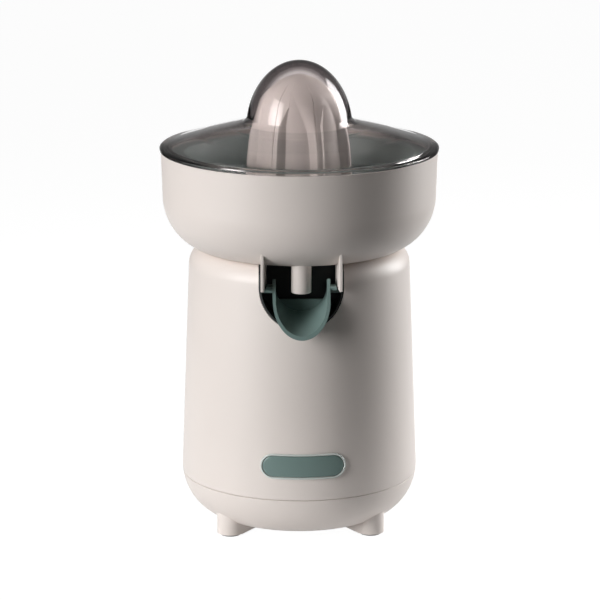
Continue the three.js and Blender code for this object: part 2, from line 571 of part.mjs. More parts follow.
spout = spout.subtract(raised(frontCut, -40, 40, 1, (g) => { g.rotateZ(Math.PI / 2); g.rotateY(Math.PI / 2); }));
spout = spout.subtract(block(-SPOUT_R - 1, SPOUT_R + 1, SPOUT_BACK - SPOUT_T, SPOUT_BACK + 1, SPOUT_BACK_TOP, DECK_Z));
for (const s of [-1, 1]) {
  const [a, b] = [s * (SPOUT_R - 0.9), s * (guardIn(earRear) - GAP)].sort((m, n) => m - n);
  spout = spout.add(block(a, b, earFront, earRear, EAR_TOP - EAR_T, EAR_TOP));
}
const pinStart = SPOUT_R - 1;
const pins = crossPin(PIN_R, linerR - GAP);
spout = spout.add(pins.subtract(block(-pinStart, pinStart, PIVOT_Y - 10, PIVOT_Y + 10, PIVOT_Z - 6, PIVOT_Z + 6)));
add("spout", spout, teal);

// ---- gears ----
function gear(teeth, module, turn, low, high, [x, y], addendum = 0.78) {
  const pitch = (teeth * module) / 2;
  const half = (Math.PI * module) / 4 - 0.1 * module;
  const rows = [[pitch - 1.12 * module, half + 0.36 * module], [pitch + addendum * module, half - 0.3 * module]];
  const points = [];
  for (let i = 0; i < teeth; i++) {
    const a = rad(turn) + (2 * Math.PI * i) / teeth;
    for (const [r, w] of rows) points.push([r, a - Math.asin(w / r)]);
    for (const [r, w] of [...rows].reverse()) points.push([r, a + Math.asin(w / r)]);
  }
  return raised(outlineOf(points.map(([r, a]) => [r * Math.cos(a), r * Math.sin(a)])), low, high, 1,
    (g) => g.translate(x, y, 0));
}
const outTop = hubLow - 2 * GAP - WASHER_T, outLow = outTop - OUT_FACE;
const wheelLow = PLATE_TOP + 3.5, wheelTop = wheelLow + WHEEL_FACE;
let output = gear(WHEEL_TEETH, OUTPUT_MODULE, 90, outLow, outTop, [0, 0]);
output = output.subtract(tube(24.5, 9, outLow - 1, outLow + 2.4, 0, 0, 20));
output = output.subtract(tube(24.5, 9, outTop - 2.4, outTop + 1, 0, 0, 20));
output = output.subtract(rod(SHAFT_R + SLIP, outLow - 1, outTop + 1));
add("output_gear", output, nylon);

const halfTooth = 180 / PINION_TEETH;
let idler = gear(WHEEL_TEETH, MOTOR_MODULE, -60, wheelLow, wheelTop, IDLER);
idler = idler.add(gear(PINION_TEETH, OUTPUT_MODULE, -90 + halfTooth, wheelTop - 0.5, outTop + 1.1, IDLER));
idler = idler.subtract(tube(19.5, 9, wheelLow - 1, wheelLow + 1.2, ...IDLER, 20));
idler = idler.subtract(rod(AXLE_R + SLIP, wheelLow - 1, outTop + 2, ...IDLER));
add("idler_gear", idler, nylon);
add("idler_axle", rod(AXLE_R, PLATE_LOW - 1.5, axleTop, ...IDLER), steel);

let pinion = gear(PINION_TEETH, MOTOR_MODULE, 120 + halfTooth, wheelLow - 1, wheelTop + 0.6, MOTOR);
pinion = pinion.subtract(rod(MOTOR_SHAFT_R + SLIP, wheelLow - 2, wheelTop + 2, ...MOTOR));
add("motor_pinion", pinion, bronze);

// ---- spindle: shaft, drive head, bushes, washer, seal and return spring ----
add("drive_shaft", turned([[0, SHAFT_LOW], [SHAFT_R - 0.6, SHAFT_LOW], [SHAFT_R, SHAFT_LOW + 0.6],
  [SHAFT_R, SHAFT_TOP - 0.6], [SHAFT_R - 0.6, SHAFT_TOP], [0, SHAFT_TOP]], 12), steel);
let head = hexRod(HEX_R, HEAD_LOW, HEAD_TOP);
head = head.intersect(turned([[0, HEAD_LOW - 0.5], [HEX_R + 0.5, HEAD_LOW - 0.5], [HEX_R + 0.5, HEAD_TOP - 2.5],
  [HEX_R - 1.9, HEAD_TOP + 0.2], [0, HEAD_TOP + 0.2]], 24));
head = head.subtract(rod(SHAFT_R + SLIP, HEAD_LOW - 3.5, SHAFT_TOP + GAP));
add("drive_head", head, nylon);
add("thrust_washer", tube(7, SHAFT_R + 0.2, outTop + GAP, hubLow - GAP), bronze);
add("spindle_bush", tube(TOWER_BORE - SLIP, SHAFT_R + SLIP, hubLow + 0.6, TOWER_Z - 0.6), bronze);
const lowerBushR = 4.6;
add("lower_bush", tube(lowerBushR, SHAFT_R + SLIP, PLATE_LOW - 2, PLATE_TOP + 2.2), bronze);
const sealLow = TOWER_Z + GAP;
add("spindle_seal", turned([[SHAFT_R + GAP, sealLow + 1.3], [4.4, sealLow], [TOWER_R - GAP, sealLow],
  [TOWER_R - GAP, sealLow + 1.7], [5, sealLow + 1.7], [SHAFT_R + GAP, sealLow + 2.9]], 20), rubber);

// A round wire along a list of points.
function wire(path, r, sides) {
  const positions = [], index = [];
  path.forEach((p, i) => {
    const ahead = path[Math.min(i + 1, path.length - 1)].clone().sub(path[Math.max(i - 1, 0)]).normalize();
    const out = new THREE.Vector3(p.x, p.y, 0).normalize();
    const up = ahead.clone().cross(out).normalize();
    for (let k = 0; k < sides; k++) {
      const a = (2 * Math.PI * k) / sides;
      const v = p.clone().addScaledVector(out, r * Math.cos(a)).addScaledVector(up, r * Math.sin(a));
      positions.push(v.x, v.y, v.z);
    }
  });
  const n = path.length;
  for (let i = 0; i + 1 < n; i++)
    for (let k = 0; k < sides; k++) {
      const [a, b] = [i * sides + k, i * sides + ((k + 1) % sides)];
      index.push(a, b + sides, b, a, a + sides, b + sides);
    }
  for (let k = 1; k + 1 < sides; k++) {
    index.push(0, k, k + 1);
    const e = (n - 1) * sides;
    index.push(e, e + k + 1, e + k);
  }
  const geometry = new THREE.BufferGeometry();
  geometry.setAttribute("position", new THREE.BufferAttribute(new Float32Array(positions), 3));
  geometry.setIndex(index);
  const made = solid(geometry);
  if (made.volume() > 0) return made;
  for (let i = 0; i < index.length; i += 3) [index[i + 1], index[i + 2]] = [index[i + 2], index[i + 1]];
  geometry.setIndex(index);
  return solid(geometry);
}
const SPRING_LOW = PLATE_TOP + GAP, SPRING_TOP = outLow - GAP, WIRE_R = 0.6, TURNS = 5;
const coil = [];
for (let i = 0; i <= TURNS * 10; i++) {
  const a = (2 * Math.PI * i) / 10, t = i / (TURNS * 10);
  const z = SPRING_LOW + WIRE_R + (SPRING_TOP - SPRING_LOW - 2 * WIRE_R) * t;
  coil.push(new THREE.Vector3(7 * Math.cos(a), 7 * Math.sin(a), z));
}
add("spindle_spring", wire(coil, WIRE_R, 5), steel);

// ---- gearbox plate: carries axle, lower bush, motor and switch ----
const switchTop = SHAFT_LOW - PRESS - 1.6, switchLow = switchTop - 10;
let plate = rod(50, PLATE_LOW, PLATE_TOP, 0, 0, 28);
plate = plate.subtract(block(-60, 60, -60, NICHE_BACK + 6, PLATE_LOW - 5, PLATE_TOP + 5));
plate = plate.add(rod(lowerBushR + 1.4, PLATE_LOW - 2, PLATE_TOP + 2, 0, 0));
for (const y of BOLT_Y) plate = plate.add(rod(4, STACK_TOP + 2.6, PLATE_LOW + 1, MOTOR[0], y));
plate = plate.add(block(-13, 7, 3.5, 6, switchLow, PLATE_LOW + 1));
const sidePin = (r, x, z, near, far) => {
  const g = new THREE.CylinderGeometry(r, r, far - near, 12);
  g.translate(x, (near + far) / 2, z);
  return solid(g);
};
const switchPins = [[-9.5, switchLow + 5], [4, switchLow + 3.5]];
for (const [x, z] of switchPins) plate = plate.add(sidePin(1.3, x, z, -3.6, 4));
const throughPlate = (r, x = 0, y = 0) => rod(r, PLATE_LOW - 8, PLATE_TOP + 4, x, y);
plate = cut(plate, throughPlate(lowerBushR + SLIP), throughPlate(3.5, ...MOTOR), throughPlate(AXLE_R + SLIP, ...IDLER));
for (const [x, y] of PLATE_POSTS) plate = plate.subtract(throughPlate(1.6, x, y));
for (const y of BOLT_Y) plate = plate.subtract(rod(1.75, STACK_TOP + 2, STACK_TOP + 18, MOTOR[0], y));
add("gearbox_plate", plate, black);
PLATE_POSTS.forEach(([x, y], i) =>
  add("gearbox_screw_" + (i + 1), turned([[0, PLATE_LOW - 2.8], [3, PLATE_LOW - 2.8], [3, PLATE_LOW - GAP],
    [1.25, PLATE_LOW - GAP], [1.25, PLATE_TOP + 9.4], [0, PLATE_TOP + 11]], 8, x, y), steel));

// ---- start switch under the shaft end ----
let microswitch = block(-13, 7, -3.2, 3.2, switchLow, switchTop);
for (const x of [-11, -3, 5])
  microswitch = microswitch.add(block(x - 1.6, x + 1.6, -0.3, 0.3, switchLow - 5, switchLow + 0.5));
for (const [x, z] of switchPins) microswitch = microswitch.subtract(sidePin(1.45, x, z, -5, 5));
microswitch = microswitch.subtract(rod(1.5, switchLow + 1.5, switchTop + 1.5, 0, 0, 12));
add("microswitch", microswitch, black);
add("switch_plunger", rod(1.2, switchLow + 5.1, SHAFT_LOW - GAP, 0, 0, 12), nylon);

// ---- shaded-pole motor: laminated frame, coil on its far leg, cast rotor ----
const [mx, my] = MOTOR;
let stack = block(mx - 42, mx + 20, my - 22, my + 22, STACK_LOW, STACK_TOP);
const ROTOR_R = 14.9, AIR_GAP = 0.4, BOLT_R = 1.6;
const throughStack = (r, x, y, sides) => rod(r, STACK_LOW - 10, STACK_TOP + 8, x, y, sides);
stack = cut(stack, throughStack(ROTOR_R + AIR_GAP, mx, my, 28),
  block(mx - 30, mx - 19, my - 12, my + 12, STACK_LOW - 10, STACK_TOP + 8));
for (const y of BOLT_Y) stack = stack.subtract(throughStack(BOLT_R + 0.3, mx, y));
add("stator_stack", stack, iron);

const legX = [mx - 42, mx - 30];
const bobbinBox = (grow, half) => block(legX[0] - grow, legX[1] + grow, my - half, my + half,
  STACK_LOW - grow, STACK_TOP + grow);
let bobbin = bobbinBox(1.3, 11.6);
for (const s of [-1, 1]) {
  const edge = [my + s * 10.1, my + s * 11.6].sort((a, b) => a - b);
  bobbin = bobbin.add(block(legX[0] - 8.2, legX[1] + 10.4, ...edge, STACK_LOW - 6.6, STACK_TOP + 6.6));
}
bobbin = bobbin.subtract(bobbinBox(GAP, 14));
add("coil_bobbin", bobbin, nylon);
let winding = block(legX[0] - 7.4, legX[1] + 9.6, my - 9.8, my + 9.8, STACK_LOW - 5.8, STACK_TOP + 5.8);
winding = winding.subtract(bobbinBox(1.6, 14));
add("field_coil", winding, copper);

add("rotor", tube(ROTOR_R, MOTOR_SHAFT_R + SLIP, STACK_LOW + 0.4, STACK_TOP - 0.4, mx, my, 28), iron);
add("rotor_shaft", rod(MOTOR_SHAFT_R, STACK_LOW - 24, wheelTop + 1, mx, my), steel);
function bracket(foot, sign) {
  const h = (d) => foot + sign * d;
  const half = [[22, 0], [22, 2], [14, 2], [14, 9.4], [-14, 9.4], [-14, 2], [-22, 2], [-22, 0], [-12, 0],
    [-12, 7.4], [12, 7.4], [12, 0]];
  const points = half.map(([v, d]) => [v + my, h(d)]);
  let body = raised(outlineOf(sign > 0 ? points : points.reverse()), mx - 7, mx + 7, 1,
    (g) => { g.rotateZ(Math.PI / 2); g.rotateY(Math.PI / 2); });
  const [a, b] = [h(4.8), h(9.4)].sort((m, n) => m - n);
  body = body.add(rod(6, a, b, mx, my));
  body = body.subtract(rod(4 + SLIP, foot - 12, foot + 12, mx, my));
  for (const y of BOLT_Y) body = body.subtract(rod(BOLT_R + 0.3, foot - 12, foot + 12, mx, y));
  return body;
}
add("motor_bracket_upper", bracket(STACK_TOP + GAP, 1), steel);
add("motor_bracket_lower", bracket(STACK_LOW - GAP, -1), steel);
add("motor_bearing_upper", tube(4, MOTOR_SHAFT_R + SLIP, STACK_TOP + 4.6, STACK_TOP + 10.2, mx, my), bronze);
add("motor_bearing_lower", tube(4, MOTOR_SHAFT_R + SLIP, STACK_LOW - 10.2, STACK_LOW - 4.6, mx, my), bronze);
BOLT_Y.forEach((y, i) =>
  add("motor_bolt_" + (i + 1), turned([[0, STACK_LOW - 5.2], [3, STACK_LOW - 5.2], [3, STACK_LOW - 2.6],
    [BOLT_R, STACK_LOW - 2.6], [BOLT_R, STACK_TOP + 16], [0, STACK_TOP + 16]], 10, mx, y), steel));
const fanZ = STACK_LOW - 18.3; // middle of the fan
let fan = tube(5, MOTOR_SHAFT_R + SLIP, fanZ - 4.3, fanZ + 4.3, mx, my);
for (let i = 0; i < 6; i++) {
  const g = new THREE.BoxGeometry(20, 1.2, 9);
  g.rotateX(rad(38));
  g.translate(13.6, 0, fanZ);
  g.rotateZ((i * Math.PI) / 3);
  g.translate(mx, my, 0);
  fan = fan.add(solid(g));
}
add("cooling_fan", fan, black);

export default part;
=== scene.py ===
import json
import math

import bmesh
import bpy
from mathutils import Matrix, Vector


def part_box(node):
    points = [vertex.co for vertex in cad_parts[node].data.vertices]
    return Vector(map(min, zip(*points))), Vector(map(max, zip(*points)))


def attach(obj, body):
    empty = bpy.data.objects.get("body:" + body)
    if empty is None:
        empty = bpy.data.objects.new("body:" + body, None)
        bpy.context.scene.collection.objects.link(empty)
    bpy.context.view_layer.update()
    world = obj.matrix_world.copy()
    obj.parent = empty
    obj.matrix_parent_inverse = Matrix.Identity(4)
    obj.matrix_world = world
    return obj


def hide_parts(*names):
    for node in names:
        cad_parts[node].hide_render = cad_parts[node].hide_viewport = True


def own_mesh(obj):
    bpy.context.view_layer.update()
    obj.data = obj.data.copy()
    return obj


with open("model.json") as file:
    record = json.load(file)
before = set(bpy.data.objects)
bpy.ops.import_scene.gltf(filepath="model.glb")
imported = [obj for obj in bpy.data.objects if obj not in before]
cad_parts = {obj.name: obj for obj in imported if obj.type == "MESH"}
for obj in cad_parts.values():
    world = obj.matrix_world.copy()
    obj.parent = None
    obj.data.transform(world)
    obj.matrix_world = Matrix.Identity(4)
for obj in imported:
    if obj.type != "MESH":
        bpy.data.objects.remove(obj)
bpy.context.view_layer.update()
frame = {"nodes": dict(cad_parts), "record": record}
nodes = frame["nodes"]
MM = 0.001
CREASE = 32  # degrees; an edge that turns by more stays sharp

# ---------------------------------------------------------------------------
# Base cover: the dished bottom of the machine with four solid legs, moulded in
# warm white ABS. It closes the housing from below; vents and screw wells are in
# its floor.
# ---------------------------------------------------------------------------


def linear(hex_colour):
    """An sRGB hex value as linear RGBA."""
    channels = [int(hex_colour[i:i + 2], 16) / 255 for i in (1, 3, 5)]
    return [c / 12.92 if c <= 0.04045 else ((c + 0.055) / 1.055) ** 2.4 for c in channels] + [1.0]


def add_node(tree, kind, settings=None, **inputs):
    """One shader or geometry node. Settings are its properties. Inputs are values or sockets to link, each
    under its socket's name or, as i0, i1 and so on, under its number."""
    made = tree.nodes.new(kind)
    for key, value in (settings or {}).items():
        setattr(made, key, value)
    for key, value in inputs.items():
        numbered = key[0] == "i" and key[1:].isdigit()
        socket = made.inputs[int(key[1:]) if numbered else key.replace("_", " ")]
        if isinstance(value, bpy.types.NodeSocket):
            tree.links.new(value, socket)
        else:
            socket.default_value = value
    return made


def plain_material(name):
    """An empty material with its output, ready for a shader."""
    made = bpy.data.materials.new(name)
    made.use_nodes = True
    made.node_tree.nodes.clear()
    return made, made.node_tree, made.node_tree.nodes.new("ShaderNodeOutputMaterial")


def moulded_plastic(name, colour, roughness, ior=1.53, grain_mm=0.35, grain_height=0.004, drift=0.03):
    """Injection-moulded plastic: an even colour that drifts a little with wall thickness, a fine
    spark-eroded grain from the mould, and gloss that varies over a hand's width."""
    made, tree, output = plain_material(name)
    place = add_node(tree, "ShaderNodeTexCoord").outputs["Object"]
    cloud = add_node(tree, "ShaderNodeTexNoise", Vector=place, Scale=14.0, Detail=2.0)
    shade = add_node(tree, "ShaderNodeMapRange", Value=cloud.outputs["Fac"], i3=1 - drift, i4=1 + drift)
    tint = add_node(tree, "ShaderNodeMix", {"data_type": "RGBA", "blend_type": "MULTIPLY"}, i0=1.0,
                    i6=linear(colour))
    tree.links.new(shade.outputs[0], tint.inputs[7])
    gloss = add_node(tree, "ShaderNodeMapRange", Value=cloud.outputs["Fac"], i3=roughness - 0.03,
                     i4=roughness + 0.03)
    grain = add_node(tree, "ShaderNodeTexNoise", Vector=place, Scale=1 / (grain_mm * MM), Detail=1.0)
    bump = add_node(tree, "ShaderNodeBump", Strength=0.25, Distance=grain_height * MM,
                    Height=grain.outputs["Fac"])
    skin = add_node(tree, "ShaderNodeBsdfPrincipled", Base_Color=tint.outputs[2], Roughness=gloss.outputs[0],
                    IOR=ior, Normal=bump.outputs[0])
    tree.links.new(skin.outputs[0], output.inputs["Surface"])
    return made


# ABS in warm white, polished mould: soft broad highlights.
white_abs = moulded_plastic("white_abs", "#ebe2dc", 0.42)


def rounded(corners, step=6):
    """A closed outline of (x, y, corner radius) in millimetres, its corners turned into arcs."""
    outline = []
    count = len(corners)
    for i, corner in enumerate(corners):
        here = Vector(corner[:2])
        size = corner[2] if len(corner) > 2 else 0
        if size <= 0:
            outline.append(tuple(here))
            continue
        before = Vector(corners[i - 1][:2]) - here
        after = Vector(corners[(i + 1) % count][:2]) - here
        half = before.angle(after) / 2
        reach = min(size / math.tan(half), 0.49 * before.length, 0.49 * after.length)
        radius = reach * math.tan(half)
        before.normalize()
        after.normalize()
        centre = here + (before + after).normalized() * (radius / math.sin(half))
        first, last = here + before * reach - centre, here + after * reach - centre
        turn = first.angle_signed(last)
        for k in range(step + 1):
            a = -turn * k / step
            outline.append((centre.x + first.x * math.cos(a) - first.y * math.sin(a),
                            centre.y + first.x * math.sin(a) + first.y * math.cos(a)))
    return outline


def arc(centre_r, centre_z, reach_r, reach_z, start, end, steps=24):
    """Points on an ellipse from one angle to another, in degrees from the outward direction."""
    angles = [math.radians(start + (end - start) * i / steps) for i in range(steps + 1)]
    return [(centre_r + reach_r * math.cos(a), centre_z + reach_z * math.sin(a)) for a in angles]


def finish_mesh(name, bm, crease=CREASE):
    """The bmesh as an object at the origin, faces out, smooth but for edges sharper than the crease."""
    bmesh.ops.remove_doubles(bm, verts=bm.verts, dist=1e-7)
    bmesh.ops.recalc_face_normals(bm, faces=bm.faces)
    mesh = bpy.data.meshes.new(name)
    bm.to_mesh(mesh)
    bm.free()
    made = bpy.data.objects.new(name, mesh)
    bpy.context.scene.collection.objects.link(made)
    smooth(made, crease)
    return made


def smooth(piece, crease=CREASE):
    """Shades a piece smooth but for edges sharper than the crease."""
    piece.data.shade_smooth()
    piece.data.set_sharp_from_angle(angle=math.radians(crease))


def turned(name, outline, steps=192, crease=CREASE, x=0, y=0):
    """A closed outline of (radius, height, corner radius) in millimetres, turned about a vertical axis
    at x, y."""
    bm = bmesh.new()
    rings = []
    for r, z in rounded(outline):
        if r < 1e-5:
            rings.append([bm.verts.new((x * MM, y * MM, z * MM))])
            continue
        angles = [2 * math.pi * i / steps for i in range(steps)]
        rings.append([bm.verts.new(((x + r * math.cos(a)) * MM, (y + r * math.sin(a)) * MM, z * MM))
                      for a in angles])
    for low, high in zip(rings, rings[1:] + rings[:1]):
        if len(low) == len(high) == 1:
            continue
        for i in range(steps):
            j = (i + 1) % steps
            corners = [low[i % len(low)], low[j % len(low)], high[j % len(high)], high[i % len(high)]]
            bm.faces.new(list(dict.fromkeys(corners)))
    return finish_mesh(name, bm, crease)


def prism(name, outline, low, high, bevel=0.0):
    """A flat outline of (x, y) in millimetres raised from low to high, its end edges rounded."""
    bm = bmesh.new()
    ground = [bm.verts.new((px * MM, py * MM, low * MM)) for px, py in rounded(outline)]
    face = bm.faces.new(ground)
    grown = bmesh.ops.extrude_face_region(bm, geom=[face])["geom"]
    tops = [v for v in grown if isinstance(v, bmesh.types.BMVert)]
    bmesh.ops.translate(bm, verts=tops, vec=(0, 0, (high - low) * MM))
    if bevel:
        edges = [e for e in bm.edges
                 if any(all(abs(v.co.z - z * MM) < 1e-7 for v in e.verts) for z in (low, high))]
        bmesh.ops.bevel(bm, geom=edges, offset=bevel * MM, segments=4, profile=0.5, affect="EDGES")
    return finish_mesh(name, bm)


def carve(piece, tool, operation="DIFFERENCE", crease=CREASE):
    """Cuts, joins or intersects a piece with a tool piece, which is used up."""
    knife = piece.modifiers.new("carve", "BOOLEAN")
    knife.object = tool
    knife.operation = operation
    knife.solver = "EXACT"
    shape = bpy.data.meshes.new_from_object(piece.evaluated_get(bpy.context.evaluated_depsgraph_get()))
    piece.modifiers.clear()
    piece.data = shape
    bpy.data.objects.remove(tool)
    smooth(piece, crease)
    return piece


def soften(piece, radius):
    """Rounds the sharp edges of a piece."""
    edge = piece.modifiers.new("soften", "BEVEL")
    edge.width = radius * MM
    edge.segments = 4
    edge.limit_method = "ANGLE"
    edge.angle_limit = math.radians(CREASE)
    piece.data = bpy.data.meshes.new_from_object(piece.evaluated_get(bpy.context.evaluated_depsgraph_get()))
    piece.modifiers.clear()
    smooth(piece)
    return piece


def dress(piece, material, body, slot, *replaced):
    """Gives a finished piece its material and ties it to the machine."""
    piece.data.materials.clear()
    piece.data.materials.append(material)
    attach(piece, body)
    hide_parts(*replaced)
    return piece


def turn_mesh(piece, matrix):
    """Moves a piece's mesh, so that its object stays at the origin."""
    piece.data.transform(matrix)
    return piece


def stadium(inner, outer, half_width, steps=16):
    """Outline of a bar with round ends, lying along X from inner to outer."""
    ends = [(outer + half_width * math.cos(a), half_width * math.sin(a))
            for a in (math.pi * (k / steps - 0.5) for k in range(steps + 1))]
    return ends + [(inner + half_width * math.cos(a), half_width * math.sin(a))
                   for a in (math.pi * (k / steps + 0.5) for k in range(steps + 1))]


def around(radius, degrees):
    """The place at a radius and an angle from the right, seen from above."""
    return radius * math.cos(math.radians(degrees)), radius * math.sin(math.radians(degrees))


housing_low, housing_high = (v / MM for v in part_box("main_housing"))
base_low, base_high = (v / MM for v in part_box("base_cover"))
body_r = housing_high.x
body_r_z = 35.3  # height at which the body is widest
flat_r, flat_z = 44.5, 5.0
base_top = housing_low.z - 0.3
wall = 2.4
leg_half, leg_in, leg_out = 8.2, 36.0, 56.5
leg_bottom = base_low.z
leg_rise_r, leg_rise = 54.0, 0.17  # inside this radius a leg's underside rises towards the middle
leg_angles = (41, 139, 221, 319)
peg_hole_r, peg_hole_top = 4.3, 4  # takes the pad's peg
tongue_r, tongue_in = 69.1, 66.8  # the ring that stands inside the housing
screw_angles, screw_out, screw_well_r, screw_seat_z = (20, 160, 200, 340), 56, 4.4, 31
vent_pitch, vent_reach, vent_half = 5, 13.7, 1.3

seam_angle = math.degrees(math.asin((base_top - body_r_z) / (body_r_z - flat_z)))
dish = arc(flat_r, body_r_z, body_r - flat_r, body_r_z - flat_z, -90, seam_angle, 40)
tongue = [(tongue_r, base_top), (tongue_r, base_high.z, 0.5), (tongue_in, base_high.z, 0.5)]
dish_inside = arc(flat_r - 0.5, body_r_z - 1.3, 23, 26.2, -8, -90, 30)
base_cover = turned("base_cover_shell", [(0, flat_z)] + dish[:-1] + [dish[-1] + (0.4,)] + tongue + dish_inside
                    + [(0, flat_z + wall)])
for angle in leg_angles:
    leg = prism("leg", stadium(leg_in, leg_out, leg_half, 20), leg_bottom, base_top - 4)
    rise = leg_bottom + leg_rise * leg_rise_r
    wedge = prism("under_leg", [(0, -2), (leg_rise_r, leg_bottom), (0, rise)], -12, 12)
    turn_mesh(wedge, Matrix.Rotation(math.pi / 2, 4, "X"))
    carve(leg, wedge)
    soften(leg, 1.0)
    turn_mesh(leg, Matrix.Rotation(math.radians(angle), 4, "Z"))
    room = arc(flat_r - 0.5, body_r_z - 1.3, 23.6, 26.6, -90, -6, 24)
    carve(leg, turned("leg_room", [(0, flat_z + 1.5)] + room + [(68, 42), (0, 42)], 96))
    carve(base_cover, leg, "UNION")
for angle in leg_angles:
    x, y = around(leg_out, angle)
    peg_hole = [(0, -1), (peg_hole_r, -1), (peg_hole_r, peg_hole_top), (0, peg_hole_top)]
    carve(base_cover, turned("peg_hole", peg_hole, 40, x=x, y=y))
for angle in screw_angles:
    x, y = around(screw_out, angle)
    well = [(0, 2), (screw_well_r, 2), (screw_well_r, screw_seat_z), (0, screw_seat_z)]
    carve(base_cover, turned("screw_well", well, 40, x=x, y=y))
for row in range(-3, 4):
    opening = [(px, vent_pitch * row + py) for px, py in stadium(-vent_reach, vent_reach, vent_half, 8)]
    carve(base_cover, prism("vent", opening, 3, 10))
dress(base_cover, white_abs, "base", "white_plastic", "base_cover")

# ---------------------------------------------------------------------------
# Foot pads: a round rubber pad under each leg, pushed into it by a short peg.
# Moulded grey rubber, dull and a little dusty.
# ---------------------------------------------------------------------------
rubber = moulded_plastic("moulded_rubber", "#6f6a68", 0.75, 1.52, 0.8, 0.02, 0.08)
pad_r, pad_top, peg_r, peg_top = 6.4, 0.9, 4, 3.6
pad_side = [(0, 0), (pad_r, 0, 0.3), (pad_r, pad_top, 0.15), (peg_r, pad_top), (peg_r, peg_top, 0.3),
            (0, peg_top)]
for number, angle in enumerate(leg_angles, 1):
    x, y = around(leg_out, angle)
    pad = turned("sole_%d" % number, pad_side, 64, x=x, y=y)
    dress(pad, rubber, "base", "rubber", "foot_pad_%d" % number)

# ---------------------------------------------------------------------------
# Housing: the tall body, one moulding with its deck, the spindle tower and the
# opening for the spout. Same warm white ABS.
# ---------------------------------------------------------------------------
top_r, shoulder_z, shoulder_r = 67.25, 161.2, 11.8
deck_z, deck_t = shoulder_z + shoulder_r, 2.8
tower_top, tower_r, tower_bore = housing_high.z, 8.7, 6.5
seam_r = 71.91  # outside, where the housing meets the base cover
hub_r, hub_z = 10, 168  # boss under the deck
niche_half, niche_z, niche_back = 25.25, 160.2, -45.0
gland_z, gland_hole_r = 48.0, 5


def body_radius(z):
    """Outside radius of the housing at a height, over its shoulder too."""
    if z > shoulder_z:
        return top_r - shoulder_r + math.sqrt(max(0.0, shoulder_r ** 2 - (z - shoulder_z) ** 2))
    return body_r + (top_r - body_r) * (z - body_r_z) / (shoulder_z - body_r_z)


def niche_outline(half, top, steps=40):
    """The spout opening seen from the front: straight sides and a round bottom."""
    bottom = [(half * math.cos(a), niche_z + half * math.sin(a))
              for a in (math.pi * (1 + k / steps) for k in range(steps + 1))]
    return [(half, top), (-half, top)] + bottom


def along_y(name, outline, near, far):
    """A flat outline in the XZ plane, run along Y from near to far."""
    stand = Matrix(((1, 0, 0, 0), (0, 0, 1, 0), (0, 1, 0, 0), (0, 0, 0, 1)))
    piece = turn_mesh(prism(name, outline, near, far), stand)
    piece.data.flip_normals()
    return piece


shoulder = arc(top_r - shoulder_r, shoulder_z, shoulder_r, shoulder_r, 0, 90, 24)
housing = turned("housing_shell", [(seam_r, housing_low.z, 0.4), (body_r, body_r_z)] + shoulder
                 + [(tower_r, deck_z, 1.5), (tower_r, tower_top, 0.6), (tower_bore, tower_top, 0.3),
                    (tower_bore, hub_z), (hub_r, hub_z), (hub_r, deck_z - deck_t)]
                 + arc(top_r - shoulder_r, shoulder_z, shoulder_r - wall, shoulder_r - deck_t, 90, 0, 12)
                 + [(body_r - wall, body_r_z), (seam_r - wall, housing_low.z)], 256)
carve(housing, along_y("niche", niche_outline(niche_half, 190), -95, niche_back))
gland_hole = turned("gland_hole", [(0, -80), (gland_hole_r, -80), (gland_hole_r, -60), (0, -60)], 48)
turn_mesh(gland_hole, Matrix.Translation((0, 0, gland_z * MM)) @ Matrix.Rotation(math.pi / 2, 4, "X"))
carve(housing, gland_hole)
dress(housing, white_abs, "base", "white_plastic", "main_housing")

# ---------------------------------------------------------------------------
# Spout recess: a cup snapped into the opening, open above and in front, cut flush
# with the housing. Its side walls hold the spout's two pins. Its near-black colour
# is dark plastic and also painted shade for the niche's deep dark inside.
# ---------------------------------------------------------------------------
teal_abs = moulded_plastic("teal_abs", "#758b87", 0.34)
liner_half, liner_t = niche_half - 0.3, 1.1
liner_back = niche_back - 0.3
recess = along_y("spout_recess", niche_outline(liner_half, deck_z + 3), -95, liner_back)
room = niche_outline(liner_half - liner_t, deck_z + 8)
carve(recess, along_y("recess_room", room, -99, liner_back - liner_t))
flush = turned("flush_body", [(0, 100), (body_radius(100), 100)] + shoulder + [(0, deck_z)], 256)
carve(recess, flush, "INTERSECT")
# Near black: this colour is also painted shade, for the deep dark inside the niche.
black_and_shade_abs = moulded_plastic("black_and_shade_abs", "#161919", 0.5, 1.53, 0.4, 0.006, 0.06)
dress(recess, black_and_shade_abs, "base", "black_plastic", "niche_liner")

# ---------------------------------------------------------------------------
# Badge: a bare teal plate in a thin pale rim, both curved to the housing and
# glued on. Nothing is written on it.
# ---------------------------------------------------------------------------
badge_low, badge_high = (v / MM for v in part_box("badge_rim"))
badge_z = (badge_low.z + badge_high.z) / 2
badge_x, badge_half_w = (badge_low.x + badge_high.x) / 2, (badge_high.x - badge_low.x) / 2
badge_half_h = (badge_high.z - badge_low.z) / 2


def on_body(x, z, proud):
    """A point standing a little proud of the housing, x to the side of the badge's middle and at height z."""
    x += badge_x
    r = body_radius(z) + proud
    return (x * MM, -math.sqrt(r * r - x * x) * MM, z * MM)


def badge_outline(inset, steps=24):
    """Points round the badge, set in from its edge."""
    straight, r = badge_half_w - badge_half_h, badge_half_h - inset
    right = [(straight + r * math.cos(a), r * math.sin(a))
             for a in (math.pi * (k / steps - 0.5) for k in range(steps + 1))]
    top = [(straight - 2 * straight * k / 32, r) for k in range(1, 32)]
    left = [(-x, -z) for x, z in right]
    return right + top + left + [(-x, -z) for x, z in top]


